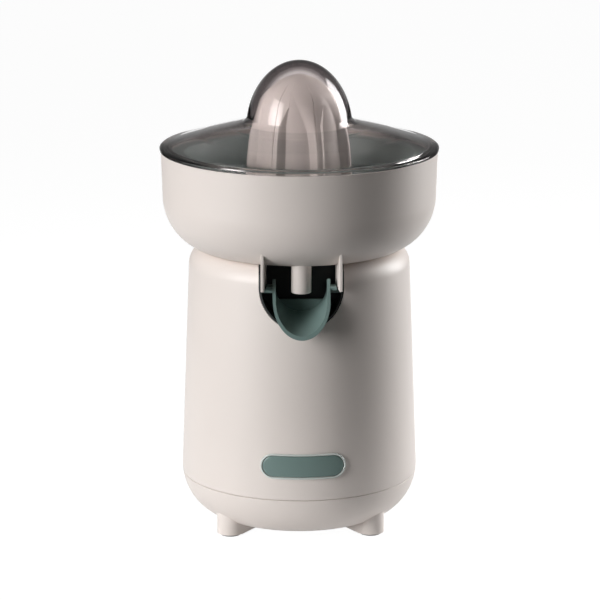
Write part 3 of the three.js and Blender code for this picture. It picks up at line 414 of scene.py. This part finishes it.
rim_shape = bmesh.new()
loops = []
rim_section = ((0, 0.3), (0, 1.15), (0.12, 1.4), (0.35, 1.5), (0.7, 1.5), (0.9, 1.35), (1.0, 1.1), (1.0, 0.3))
for inset, proud in rim_section:
    loops.append([rim_shape.verts.new(on_body(x, badge_z + z, proud)) for x, z in badge_outline(inset)])
for a, b in zip(loops, loops[1:] + loops[:1]):
    for i in range(len(a)):
        j = (i + 1) % len(a)
        rim_shape.faces.new((a[i], a[j], b[j], b[i]))
badge_rim = finish_mesh("badge_edge", rim_shape, 60)
pale_abs = moulded_plastic("pale_abs", "#d3dad6", 0.3)
dress(badge_rim, pale_abs, "base", "pale_plastic", "badge_rim")

plate_shape = bmesh.new()
plate_inset = 1.3
straight = badge_half_w - badge_half_h
end_r = badge_half_h - plate_inset
columns = [-straight - end_r * math.cos(math.pi / 2 * k / 14) for k in range(15)]
columns += [-straight + 2 * straight * k / 30 for k in range(1, 30)] + [-x for x in reversed(columns)]
rows = 12
back_grid, front_grid = [], []
for proud, grid in ((0.3, back_grid), (1.2, front_grid)):
    for x in columns:
        reach = math.sqrt(max(1e-6, end_r ** 2 - max(0.0, abs(x) - straight) ** 2))
        line = []
        for k in range(rows + 1):
            z = reach * math.sin(math.pi / 2 * (2 * k / rows - 1))
            edge = end_r - math.hypot(max(0.0, abs(x) - straight), z)
            dip = 0.35 * max(0.0, 1 - edge / 0.4) ** 2 if proud > 1 else 0.0
            line.append(plate_shape.verts.new(on_body(x, badge_z + z, proud - dip)))
        grid.append(line)
    for a, b in zip(grid, grid[1:]):
        for k in range(rows):
            plate_shape.faces.new((a[k], a[k + 1], b[k + 1], b[k]))
edges = [(back_grid[i], front_grid[i]) for i in (0, -1)]
edges += [([line[i] for line in back_grid], [line[i] for line in front_grid]) for i in (0, -1)]
for a, b in edges:
    for k in range(len(a) - 1):
        plate_shape.faces.new((a[k], a[k + 1], b[k + 1], b[k]))
badge_plate = finish_mesh("badge_face", plate_shape, 40)
dress(badge_plate, teal_abs, "base", "teal_plastic", "badge_plate")

# ---------------------------------------------------------------------------
# Cord gland: a black rubber grommet snapped into the hole in the rear wall. It
# is bare of its cord.
# ---------------------------------------------------------------------------
black_rubber = moulded_plastic("black_rubber", "#232425", 0.6, 1.52, 0.6, 0.01, 0.06)
gland = turned("rear_gland", [(3.2, 66.3, 0.4), (6.5, 66.3, 0.4), (6.5, 68.4, 0.3), (4.7, 68.4), (4.7, 72.3),
                              (8, 72.3, 0.3), (8, 75.4, 1.2), (3.2, 75.4, 0.8)], 64)
turn_mesh(gland, Matrix.Translation((0, 0, gland_z * MM)) @ Matrix.Rotation(-math.pi / 2, 4, "X"))
dress(gland, black_rubber, "base", "black_plastic", "cord_gland")

# ---------------------------------------------------------------------------
# Spout: a moulded teal trough on two stub pins. It falls to the front; tipped
# up, it holds back the drips.
# ---------------------------------------------------------------------------
spout_low, spout_high = (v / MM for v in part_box("spout"))
trough_r, trough_t, trough_back, back_top = 17.0, 1.8, -49.4, 150.5
pivot_y, pivot_z, pin_r = -60.0, 157.9, 1.4
lip_y, lip_z = -84.0, spout_low.z
fall = math.tan(math.radians(14))


def trough_outline(half, side, steps=40):
    """The trough seen from the front: straight sides and a round bottom."""
    bottom = [(half * math.cos(a), half * math.sin(a))
              for a in (math.pi * (1 + k / steps) for k in range(steps + 1))]
    return [(half, side), (-half, side)] + bottom


def trough(name, half, side, near, far):
    """A round-bottomed bar along Y that falls towards the lip."""
    piece = along_y(name, trough_outline(half, side), near, far)
    for v in piece.data.vertices:
        v.co.z += (lip_z + trough_r) * MM + (v.co.y - lip_y * MM) * fall
    return piece


spout = trough("spout_trough", trough_r, 12, -92, trough_back)
carve(spout, trough("trough_room", trough_r - trough_t, 40, -99, trough_back - trough_t))
front = prism("front_cut", [(-62, 165.5), (-84, 133.2), (-84.2, 100), (-130, 100), (-130, 200), (-30, 200),
                            (-30, 161), (-48, 161)], -40, 40)
front.data.transform(Matrix(((0, 0, 1, 0), (1, 0, 0, 0), (0, 1, 0, 0), (0, 0, 0, 1))))
carve(spout, front)
wall_y = trough_back - trough_t
carve(spout, prism("back_cut", [(-20, wall_y), (20, wall_y), (20, -40), (-20, -40)], back_top, 180))
ear_plan = ((16, -65), (20.7, -65), (20.7, -57.5), (16, -57.5))
for side in (-1, 1):
    ear = prism("ear", [(x * side, y) for x, y in ear_plan], 159.1, 161.3, 0.4)
    carve(spout, ear, "UNION")
    pin = turned("pin", [(0, 16.2), (pin_r, 16.2), (pin_r, spout_high.x, 0.2), (0, spout_high.x)], 32)
    to_pivot = Matrix.Translation((0, pivot_y * MM, pivot_z * MM))
    turn_mesh(pin, to_pivot @ Matrix.Rotation(side * math.pi / 2, 4, "Y"))
    carve(spout, pin, "UNION")
dress(spout, teal_abs, "spout", "teal_plastic", "spout")

# ---------------------------------------------------------------------------
# Juice bowl: a deep white bowl that drops over the spindle tower by its hollow
# chimney. Under its front hang the drain nozzle and two small guard plates.
# ---------------------------------------------------------------------------
bowl_low, bowl_high = (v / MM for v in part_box("juice_bowl"))
bowl_r, bowl_top = bowl_high.x, bowl_high.z
bowl_bottom, ledge_z = 173.3, 225.3
chimney_r, chimney_bore, chimney_top = 11.5, 9.3, 202.0
nozzle_y, nozzle_r, nozzle_bore = -58.0, 6.0, 4.4
guard_low = 159.6
guard_plan = ((22.2, -71.2), (24.1, -71.2), (22.3, -50), (20.4, -50))  # from above, toed in to the rear
outside = arc(52.3, 203.9, 30.5, 32.5, -68, 0, 40)
inside = arc(52, 204, 27, 27.8, 0, -74, 30)
bowl = turned("bowl_shell", [(0, bowl_bottom), (62.6, bowl_bottom)] + outside
              + [(bowl_r, bowl_top), (0, bowl_top)], 256)
nozzle = turned("nozzle", [(0, bowl_low.z), (nozzle_r, bowl_low.z, 0.4), (nozzle_r, 180), (0, 180)], 64,
                y=nozzle_y)
for side in (-1, 1):
    guard = prism("guard", [(x * side, y) for x, y in guard_plan], guard_low, 184)
    soften(guard, 0.4)
    carve(bowl, guard, "UNION")
carve(bowl, nozzle, "UNION")
carve(bowl, turned("bowl_room", [(chimney_r, 178.5, 1.5)] + list(reversed(inside))
                   + [(77.8, ledge_z, 0.3), (80.8, ledge_z, 0.3), (80.95, bowl_top - 0.6),
                      (81.4, bowl_top + 3), (chimney_r, bowl_top + 3)], 256))
carve(bowl, turned("over_chimney", [(0, chimney_top), (14, chimney_top), (14, bowl_top + 4),
                                    (0, bowl_top + 4)], 96))
carve(bowl, turned("chimney_bore", [(0, 165), (chimney_bore, 165), (chimney_bore, 206), (0, 206)], 96))
carve(bowl, turned("nozzle_bore", [(0, 150), (nozzle_bore, 150), (nozzle_bore, 190), (0, 190)], 64,
                   y=nozzle_y))
dress(bowl, white_abs, "bowl", "white_plastic", "juice_bowl")

# ---------------------------------------------------------------------------
# Strainer: a sea-grey basket that hangs by its flange on the bowl's ledge, with
# a ring of slots in its floor that holds back the pips.
# ---------------------------------------------------------------------------
sea_grey_abs = moulded_plastic("sea_grey_abs", "#8a9795", 0.38)
strainer_low, strainer_high = (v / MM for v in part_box("strainer"))
floor_z, flange_z = strainer_low.z, strainer_high.z
slot_count, slot_r, slot_length, slot_width = 40, 48.5, 19, 1.6
strainer = turned("strainer_basket", [
    (13.8, floor_z + 1.6), (13.8, 199, 0.5), (12.3, 199, 0.5), (12.3, floor_z), (61.5, floor_z, 4),
    (67, 198, 6), (72, 225.6), (strainer_high.x, 225.6, 0.4), (strainer_high.x, flange_z, 0.6),
    (70.4, flange_z, 0.8), (65.4, 198.6, 6), (60.8, floor_z + 1.6, 3)], 224)

slot_tree = bpy.data.node_groups.new("ring_of_slots", "GeometryNodeTree")
for label, kind in (("Count", "NodeSocketInt"), ("Radius", "NodeSocketFloat"), ("Length", "NodeSocketFloat"),
                    ("Width", "NodeSocketFloat"), ("Height", "NodeSocketFloat"),
                    ("Material", "NodeSocketMaterial")):
    slot_tree.interface.new_socket(label, in_out="INPUT", socket_type=kind)
slot_tree.interface.new_socket("Geometry", in_out="OUTPUT", socket_type="NodeSocketGeometry")
given = slot_tree.nodes.new("NodeGroupInput")
result = slot_tree.nodes.new("NodeGroupOutput")
size = add_node(slot_tree, "ShaderNodeCombineXYZ", X=given.outputs["Length"], Y=given.outputs["Width"],
                Z=0.008)
cutter = add_node(slot_tree, "GeometryNodeMeshCube", Size=size.outputs[0])
ring = add_node(slot_tree, "GeometryNodeMeshCircle", Vertices=given.outputs["Count"],
                Radius=given.outputs["Radius"])
centre = add_node(slot_tree, "GeometryNodeInputPosition")
outward = add_node(slot_tree, "FunctionNodeAlignRotationToVector", {"axis": "X"}, Vector=centre.outputs[0])
placed = add_node(slot_tree, "GeometryNodeInstanceOnPoints", Points=ring.outputs[0],
                  Instance=cutter.outputs[0], Rotation=outward.outputs[0])
lift = add_node(slot_tree, "ShaderNodeCombineXYZ", Z=given.outputs["Height"])
raised = add_node(slot_tree, "GeometryNodeTransform", Geometry=placed.outputs[0], Translation=lift.outputs[0])
real = add_node(slot_tree, "GeometryNodeRealizeInstances", Geometry=raised.outputs[0])
painted = add_node(slot_tree, "GeometryNodeSetMaterial", Geometry=real.outputs[0],
                   Material=given.outputs["Material"])
slot_tree.links.new(painted.outputs[0], result.inputs[0])
slots = bpy.data.objects.new("strainer_slots", bpy.data.meshes.new("strainer_slots"))
bpy.context.scene.collection.objects.link(slots)
pattern = slots.modifiers.new("slots", "NODES")
pattern.node_group = slot_tree
wanted = {"Count": slot_count, "Radius": slot_r * MM, "Length": slot_length * MM, "Width": slot_width * MM,
          "Height": (floor_z + 0.8) * MM, "Material": sea_grey_abs}
for item in slot_tree.interface.items_tree:
    if item.in_out == "INPUT":
        pattern[item.identifier] = wanted[item.name]
slots.data = bpy.data.meshes.new_from_object(slots.evaluated_get(bpy.context.evaluated_depsgraph_get()))
slots.modifiers.clear()
carve(strainer, slots)
dress(strainer, sea_grey_abs, "bowl", "teal_plastic", "strainer")

# ---------------------------------------------------------------------------
# Reamer cone: one grey-white moulding with seven ribs. Beside each rib a steep
# face drops into a pointed groove, and a broad valley runs from it to the next
# rib's face, its crest and the crease behind the crest.
# ---------------------------------------------------------------------------
cone_low, cone_high = (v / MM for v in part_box("reamer_cone"))
ribs, first_groove = 7, -15.5
# A groove and a valley each fade in downwards from a height over the cone's rim, over a run.
groove_top, groove_run = 61.0, 11.0
valley_top, valley_run, valley_fall = 70.0, 45.0, 32.0
steep_from, steep_to, valley_end, crest_at = -11.0, -3.5, 28.0, 35.0  # degrees across a rib
flute_depth, flute_foot = 5.2, 1.2  # how deep a valley is, and how far over the rim it starts
steep_share = 0.92  # how much of that depth the steep face drops
cone_crease = 24
crest = ((34, 0), (33.7, 3), (32.8, 16), (31.6, 30), (30.3, 40), (28.5, 47), (26.6, 53.5), (25.1, 58),
         (23.6, 62), (20.6, 66), (16, 70), (10, 74.2), (4.4, 76.4), (0, 77.2))


def crest_radius(z):
    """Radius over the ribs at a height over the rim, as a smooth curve through the crest's points."""
    for i in range(len(crest) - 1):
        (r0, z0), (r1, z1) = crest[i], crest[i + 1]
        if z <= z1:
            ra, za = crest[max(0, i - 1)]
            rb, zb = crest[min(len(crest) - 1, i + 2)]
            t = (z - z0) / (z1 - z0)
            m0 = (r1 - ra) / (z1 - za) * (z1 - z0) if i else r1 - r0
            m1 = (rb - r0) / (zb - z0) * (z1 - z0) if i + 2 < len(crest) else 2 * (r1 - r0)
            return ((2 * t ** 3 - 3 * t ** 2 + 1) * r0 + (t ** 3 - 2 * t ** 2 + t) * m0
                    + (3 * t ** 2 - 2 * t ** 3) * r1 + (t ** 3 - t ** 2) * m1)
    return 0.0


def rib_section(z):
    """Across one rib at a height over the rim: degrees from the groove, and millimetres under the crest."""
    s = min(1.0, max(0.0, (valley_top - z) / valley_run))
    w = min(1.0, max(0.02, (groove_top - z) / groove_run)) ** 0.8
    foot = min(1.0, max(0.0, (z - flute_foot) / 2))
    deep = flute_depth * min(1.0, max(0.0, (valley_top - z) / valley_fall)) * foot
    end = max(2.0, valley_end * (1 - (1 - s) ** 2.6))
    left, right = steep_from * w, steep_to * w
    share_left, share_right = ((angle - steep_from) / (end - steep_from) for angle in (left, right))
    share_right += (steep_share - share_right) * math.sqrt(w)
    crease = 0.8 * min(1.0, (cone_high.z - cone_low.z - z) / 10) * foot
    return ((left, deep * share_left), (right, deep * share_right), (end, deep), (crest_at - 0.6, 0.0),
            (crest_at + 0.1, crease), (crest_at + 0.8, 0.1), (360 / ribs + steep_from, 0.1),
            (360 / ribs + left, deep * share_left))


# Heights of the rings over the rim: close at the foot, even along the ribs, and closing in on the tip.
heights = [0.8 * k for k in range(5)] + [4 + 62.0 * k / 70 for k in range(1, 71)]
heights += [66 + (cone_high.z - cone_low.z - 66) * math.sin(math.pi / 2 * k / 18) for k in range(1, 18)]
section_steps = (8, 16, 10, 2, 2, 6, 4)
cone_shape = bmesh.new()
rings = []
for z in heights:
    section = rib_section(z)
    across = []
    for (a, under), (a2, under2), steps in zip(section, section[1:], section_steps):
        across += [(a + (a2 - a) * k / steps, under + (under2 - under) * k / steps) for k in range(steps)]
    round_off = [(across[i - 1][1] + 2 * under + across[(i + 1) % len(across)][1]) / 4
                 for i, (_, under) in enumerate(across)]
    ring_points = []
    for rib in range(ribs):
        for (angle, _), under in zip(across, round_off):
            a, r = math.radians(rib * 360 / ribs + first_groove + angle), crest_radius(z) - under
            point = (r * math.sin(a) * MM, -r * math.cos(a) * MM, (cone_low.z + z) * MM)
            ring_points.append(cone_shape.verts.new(point))
    rings.append(ring_points)
for low_ring, high_ring in zip(rings, rings[1:]):
    for i in range(len(low_ring)):
        j = (i + 1) % len(low_ring)
        cone_shape.faces.new((low_ring[i], low_ring[j], high_ring[j], high_ring[i]))
tip = cone_shape.verts.new((0, 0, cone_high.z * MM))
for i in range(len(rings[-1])):
    cone_shape.faces.new((rings[-1][i], rings[-1][(i + 1) % len(rings[-1])], tip))
cone_shape.faces.new(list(reversed(rings[0])))
cone = finish_mesh("reamer", cone_shape, cone_crease)
cone_inside = [(10, 190), (27, 190), (26.7, 203), (25.8, 216), (24.6, 230), (23.3, 240), (21.5, 247),
               (10, 263)]
carve(cone, turned("cone_room", cone_inside, 96), crease=cone_crease)
carve(cone, turned("hub_room", [(0, 190), (10.5, 190), (10.5, 206), (0, 206)], 96), crease=cone_crease)
hexagon = [(7.8 * math.sin(math.pi / 3 * k), 7.8 * math.cos(math.pi / 3 * k)) for k in range(6)]
carve(cone, prism("hub_socket", hexagon, 200, 222.3), crease=cone_crease)
# The cone is drawn a little greyer than the housing.
grey_abs = moulded_plastic("grey_abs", "#ddd4d0", 0.4)
dress(cone, grey_abs, "cone", "white_plastic", "reamer_cone")

# ---------------------------------------------------------------------------
# Dust cover: a clear domed lid, moulded in styrene acrylonitrile with a trace
# of smoke. A ring under its brim drops inside the bowl's rim.
# ---------------------------------------------------------------------------


def maths(tree, operation, *values):
    """The result of one sum on shader values."""
    terms = {"i%d" % number: value for number, value in enumerate(values)}
    return add_node(tree, "ShaderNodeMath", {"operation": operation}, **terms).outputs[0]


cover_low, cover_high = (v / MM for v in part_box("dust_cover"))
cover_r, cover_top = cover_high.x, cover_high.z
dome_r, dome_h, cover_t = 32.3, 42.32, 1.8
dome_z = cover_top - dome_h
cover = turned("clear_cover", arc(0, dome_z, dome_r, dome_h, 90, 10, 48)
               + [(34.5, 248, 2.5), (42, 245.7, 20), (60, 240.8, 60), (78, 234.95, 25), (83.4, 233.9, 1.0),
                  (cover_r, 233.2, 0.5), (cover_r, 231.5, 0.4), (80.3, 231.5, 0.3), (80.3, cover_low.z, 0.4),
                  (78.7, cover_low.z, 0.4), (78.7, 232.8, 0.8), (60, 239, 60), (42, 243.9, 20),
                  (33, 246.6, 2.6)]
               + arc(0, dome_z, dome_r - cover_t, dome_h - cover_t, 10, 90, 44), 256, 50)
clear_san, tree, output = plain_material("clear_san")
place = add_node(tree, "ShaderNodeTexCoord").outputs["Object"]
ripple = add_node(tree, "ShaderNodeTexNoise", Vector=place, Scale=45.0, Detail=1.0)
wave = add_node(tree, "ShaderNodeBump", Strength=0.15, Distance=0.00008, Height=ripple.outputs["Fac"])
slant = add_node(tree, "ShaderNodeLayerWeight", Blend=0.5)
parts = add_node(tree, "ShaderNodeSeparateXYZ", Vector=place)
# The smoke tint darkens where one looks along the plastic, as a longer path through it would; this also
# paints in the dark that the lid's edges reflect. On the dome and at the brim's edge it darkens sooner:
# painted shade that dims the cone under the dome and draws a dark line round the brim.
dome_foot, dome_side, edge_low, edge_top = 0.2475, 0.251, 0.2325, 0.2335
dome_painted_shade = add_node(tree, "ShaderNodeMapRange", Value=parts.outputs["Z"], i1=dome_foot, i2=dome_side, i3=0.0,
                 i4=0.44)
brim_edge_painted_shade = add_node(tree, "ShaderNodeMapRange", Value=parts.outputs["Z"], i1=edge_low, i2=edge_top, i3=0.6,
                 i4=0.0)
reach = slant.outputs["Facing"]
for part in (dome_painted_shade, brim_edge_painted_shade):
    reach = maths(tree, "ADD", reach, part.outputs[0])
# Smoke and painted shade together set how far the tint turns dark.
smoke_and_painted_shade = add_node(tree, "ShaderNodeMapRange", {"interpolation_type": "SMOOTHSTEP"}, Value=reach, i1=0.76,
                 i2=0.93)
tint = add_node(tree, "ShaderNodeMix", {"data_type": "RGBA"}, i0=smoke_and_painted_shade.outputs[0], i6=linear("#eae5e4"),
                i7=linear("#665f60"))
resin = add_node(tree, "ShaderNodeBsdfPrincipled", Base_Color=tint.outputs[2], Roughness=0.04, IOR=1.57,
                 Specular_Tint=linear("#a8a4a4"), Transmission_Weight=1.0, Normal=wave.outputs[0])
pass_light = add_node(tree, "ShaderNodeBsdfTransparent", Color=linear("#e2e1e0"))
path = add_node(tree, "ShaderNodeLightPath")
both = add_node(tree, "ShaderNodeMixShader", i0=path.outputs["Is Shadow Ray"], i1=resin.outputs[0],
                i2=pass_light.outputs[0])
tree.links.new(both.outputs[0], output.inputs["Surface"])
dress(cover, clear_san, "cover", "clear_plastic", "dust_cover")

# ---------------------------------------------------------------------------
# Inside: spindle, gears, motor and switch are as the frame has them, each in its
# own finish: ground steel, sintered bronze, nylon, laminations. The return spring
# is a new coil in place of the frame's.
# ---------------------------------------------------------------------------


def metal(name, colour, roughness, streak_mm, direction=(1, 1, 30)):
    """Metal with fine tool or rolling marks that run one way."""
    made, tree, output = plain_material(name)
    place = add_node(tree, "ShaderNodeTexCoord").outputs["Object"]
    run = add_node(tree, "ShaderNodeMapping", Vector=place, Scale=direction)
    marks = add_node(tree, "ShaderNodeTexNoise", Vector=run.outputs[0], Scale=0.1 / (streak_mm * MM),
                     Detail=3.0)
    gloss = add_node(tree, "ShaderNodeMapRange", Value=marks.outputs["Fac"], i3=roughness - 0.1,
                     i4=roughness + 0.12)
    bump = add_node(tree, "ShaderNodeBump", Strength=0.2, Distance=0.00001, Height=marks.outputs["Fac"])
    skin = add_node(tree, "ShaderNodeBsdfPrincipled", Base_Color=linear(colour), Metallic=1.0,
                    Roughness=gloss.outputs[0], Normal=bump.outputs[0])
    tree.links.new(skin.outputs[0], output.inputs["Surface"])
    return made


finishes = {
    "steel": metal("ground_steel", "#c3c4c6", 0.3, 0.4),
    "bronze": metal("sintered_bronze", "#a98450", 0.45, 0.2, (1, 1, 1)),
    "electrical_iron": metal("stacked_laminations", "#8b8c8e", 0.42, 0.35, (0.2, 0.2, 12)),
    "copper": metal("enamelled_copper", "#b4713f", 0.3, 0.3, (0.2, 30, 0.2)),
    "nylon": moulded_plastic("natural_nylon", "#e6e1d2", 0.45, 1.53, 0.5, 0.004, 0.04),
    "black_plastic": moulded_plastic("black_nylon", "#26282a", 0.45, 1.53, 0.4, 0.006, 0.06),
    "rubber": rubber,
}
spring_low, spring_high = (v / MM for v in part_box("spindle_spring"))
wire_r, turns, steps_per_turn, wire_sides = 0.6, 5, 40, 12
coil_r = spring_high.x - wire_r
spring_length = spring_high.z - spring_low.z
coil_shape = bmesh.new()
rings = []
for i in range(turns * steps_per_turn + 1):
    turn = 2 * math.pi * i / steps_per_turn
    height = spring_low.z + wire_r + (spring_length - 2 * wire_r) * i / (turns * steps_per_turn)
    ring = []
    for k in range(wire_sides):
        roll = 2 * math.pi * k / wire_sides
        reach = coil_r + wire_r * math.cos(roll)
        point = (reach * math.cos(turn), reach * math.sin(turn), height + wire_r * math.sin(roll))
        ring.append(coil_shape.verts.new([c * MM for c in point]))
    rings.append(ring)
for near, far in zip(rings, rings[1:]):
    for k in range(wire_sides):
        coil_shape.faces.new((near[k], far[k], far[k - 1], near[k - 1]))
coil_shape.faces.new(rings[0])
coil_shape.faces.new(reversed(rings[-1]))
spring = finish_mesh("return_spring", coil_shape, 40)
dress(spring, finishes["steel"], "base", "steel", "spindle_spring")
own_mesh(spring)

slot_of = {part["node"]: part["material_slot"] for part in frame["record"]["subparts"]}
for name, piece in nodes.items():
    if not piece.hide_render:
        piece.data.materials.clear()
        piece.data.materials.append(finishes[slot_of[name]])

# ---------------------------------------------------------------------------
# Studio: the camera, a broad soft lamp at the left front and another at the
# right rear, a white floor, and a white room that gives hardly any light.
# ---------------------------------------------------------------------------
view_turn, view_back, view_height, aim_height = -1.15, 1.8, 0.5821, 0.1374
camera = bpy.data.objects.new("camera", bpy.data.cameras.new("camera"))
bpy.context.scene.collection.objects.link(camera)
camera.data.sensor_width = 36
camera.data.lens = 181.95
camera.data.shift_x = 0.0012
camera.data.clip_end = 20
turned_by = math.radians(view_turn)
camera.location = (view_back * math.sin(turned_by), -view_back * math.cos(turned_by), view_height)
camera.rotation_euler = (Vector((0, 0, aim_height)) - camera.location).to_track_quat("-Z", "Y").to_euler()
bpy.context.scene.camera = camera


def soft_lamp(name, azimuth, elevation, distance, width, height, power, spread):
    """A rectangular softbox that faces the machine from an azimuth counted from the front, to the right. Its
    grid narrows its spread, so that its edges look dimmer than its middle."""
    data = bpy.data.lights.new(name, "AREA")
    data.shape = "RECTANGLE"
    data.size = width
    data.size_y = height
    data.energy = power
    data.spread = math.radians(spread)
    made = bpy.data.objects.new(name, data)
    bpy.context.scene.collection.objects.link(made)
    a, e = math.radians(azimuth), math.radians(elevation)
    aim = Vector((0, 0, 0.15))
    outward = Vector((math.sin(a) * math.cos(e), -math.cos(a) * math.cos(e), math.sin(e)))
    made.location = aim + distance * outward
    made.rotation_euler = (aim - made.location).to_track_quat("-Z", "Y").to_euler()


soft_lamp("key_softbox", -58, 14, 1.8, 1.0, 1.5, 6.3, 60)
soft_lamp("rear_softbox", 116, 14, 1.6, 0.7, 1.5, 7.6, 80)


def seen_white(tree, backdrop):
    """1 for rays that show the white background: from the camera, straight through clear plastic, and off
    gloss where they reach the backdrop. A ray that only carries light from one dull surface to another
    doesn't count."""
    path = add_node(tree, "ShaderNodeLightPath").outputs
    seen = maths(tree, "MAXIMUM", path["Is Glossy Ray"], path["Is Transmission Ray"])
    straight = maths(tree, "LESS_THAN", path["Glossy Depth"], 0.5)
    reach = maths(tree, "MAXIMUM", straight, backdrop)
    direct = maths(tree, "LESS_THAN", path["Diffuse Depth"], 0.5)
    for factor in (reach, direct):
        seen = maths(tree, "MULTIPLY", seen, factor)
    return maths(tree, "MAXIMUM", path["Is Camera Ray"], seen)


half_floor = 6
floor = bpy.data.objects.new("floor", bpy.data.meshes.new("floor"))
corners = [(half_floor * x, half_floor * y, 0) for x, y in ((-1, -1), (1, -1), (1, 1), (-1, 1))]
floor.data.from_pydata(corners, [], [(0, 1, 2, 3)])
bpy.context.scene.collection.objects.link(floor)
white_paper, tree, output = plain_material("white_paper")
place = add_node(tree, "ShaderNodeTexCoord").outputs["Object"]
away = add_node(tree, "ShaderNodeVectorMath", {"operation": "LENGTH"}, i0=place)
# The paper throws its full light up only under the machine, as a small sheet on a dull table would.
bounce = add_node(tree, "ShaderNodeMapRange", Value=away.outputs["Value"], i1=0.1, i2=0.35, i3=0.85, i4=0.08)
paper = add_node(tree, "ShaderNodeBsdfDiffuse", Color=bounce.outputs[0])
glow = add_node(tree, "ShaderNodeEmission", Color=(1, 1, 1, 1), Strength=0.97)
seen_paper = add_node(tree, "ShaderNodeBsdfDiffuse", Color=(0.16, 0.16, 0.16, 1))
lit = add_node(tree, "ShaderNodeAddShader", i0=seen_paper.outputs[0], i1=glow.outputs[0])
axes = add_node(tree, "ShaderNodeSeparateXYZ", Vector=place)
# The sweep that gloss and glass show stands behind the machine and isn't as wide as the floor.
aside = maths(tree, "ABSOLUTE", axes.outputs["X"])
sweep_wide = add_node(tree, "ShaderNodeMapRange", Value=aside, i1=0.35, i2=0.6, i3=1.0, i4=0.0)
sweep_deep = add_node(tree, "ShaderNodeMapRange", Value=axes.outputs["Y"], i1=-0.3, i2=0.1)
sweep = maths(tree, "MULTIPLY", sweep_wide.outputs[0], sweep_deep.outputs[0])
both = add_node(tree, "ShaderNodeMixShader", i0=seen_white(tree, sweep), i1=paper.outputs[0],
                i2=lit.outputs[0])
tree.links.new(both.outputs[0], output.inputs["Surface"])
floor.data.materials.append(white_paper)

world = bpy.data.worlds.new("studio")
bpy.context.scene.world = world
world.use_nodes = True
tree = world.node_tree
tree.nodes.clear()
output = tree.nodes.new("ShaderNodeOutputWorld")
direction = add_node(tree, "ShaderNodeTexCoord").outputs["Generated"]
axes = add_node(tree, "ShaderNodeSeparateXYZ", Vector=direction)
sweep_behind = add_node(tree, "ShaderNodeMapRange", Value=axes.outputs["Y"], i1=0.75, i2=0.92)
sweep_low = add_node(tree, "ShaderNodeMapRange", Value=axes.outputs["Z"], i1=0.0, i2=0.3, i3=0.45, i4=0.0)
sweep = maths(tree, "MULTIPLY", sweep_behind.outputs[0], sweep_low.outputs[0])
studio_wall = maths(tree, "MAXIMUM", sweep, 0.12)
room = maths(tree, "MAXIMUM", seen_white(tree, studio_wall), 0.02)
sky = add_node(tree, "ShaderNodeBackground", Color=(1, 1, 1, 1), Strength=room)
tree.links.new(sky.outputs[0], output.inputs["Surface"])
bpy.context.scene.view_settings.view_transform = "Standard"
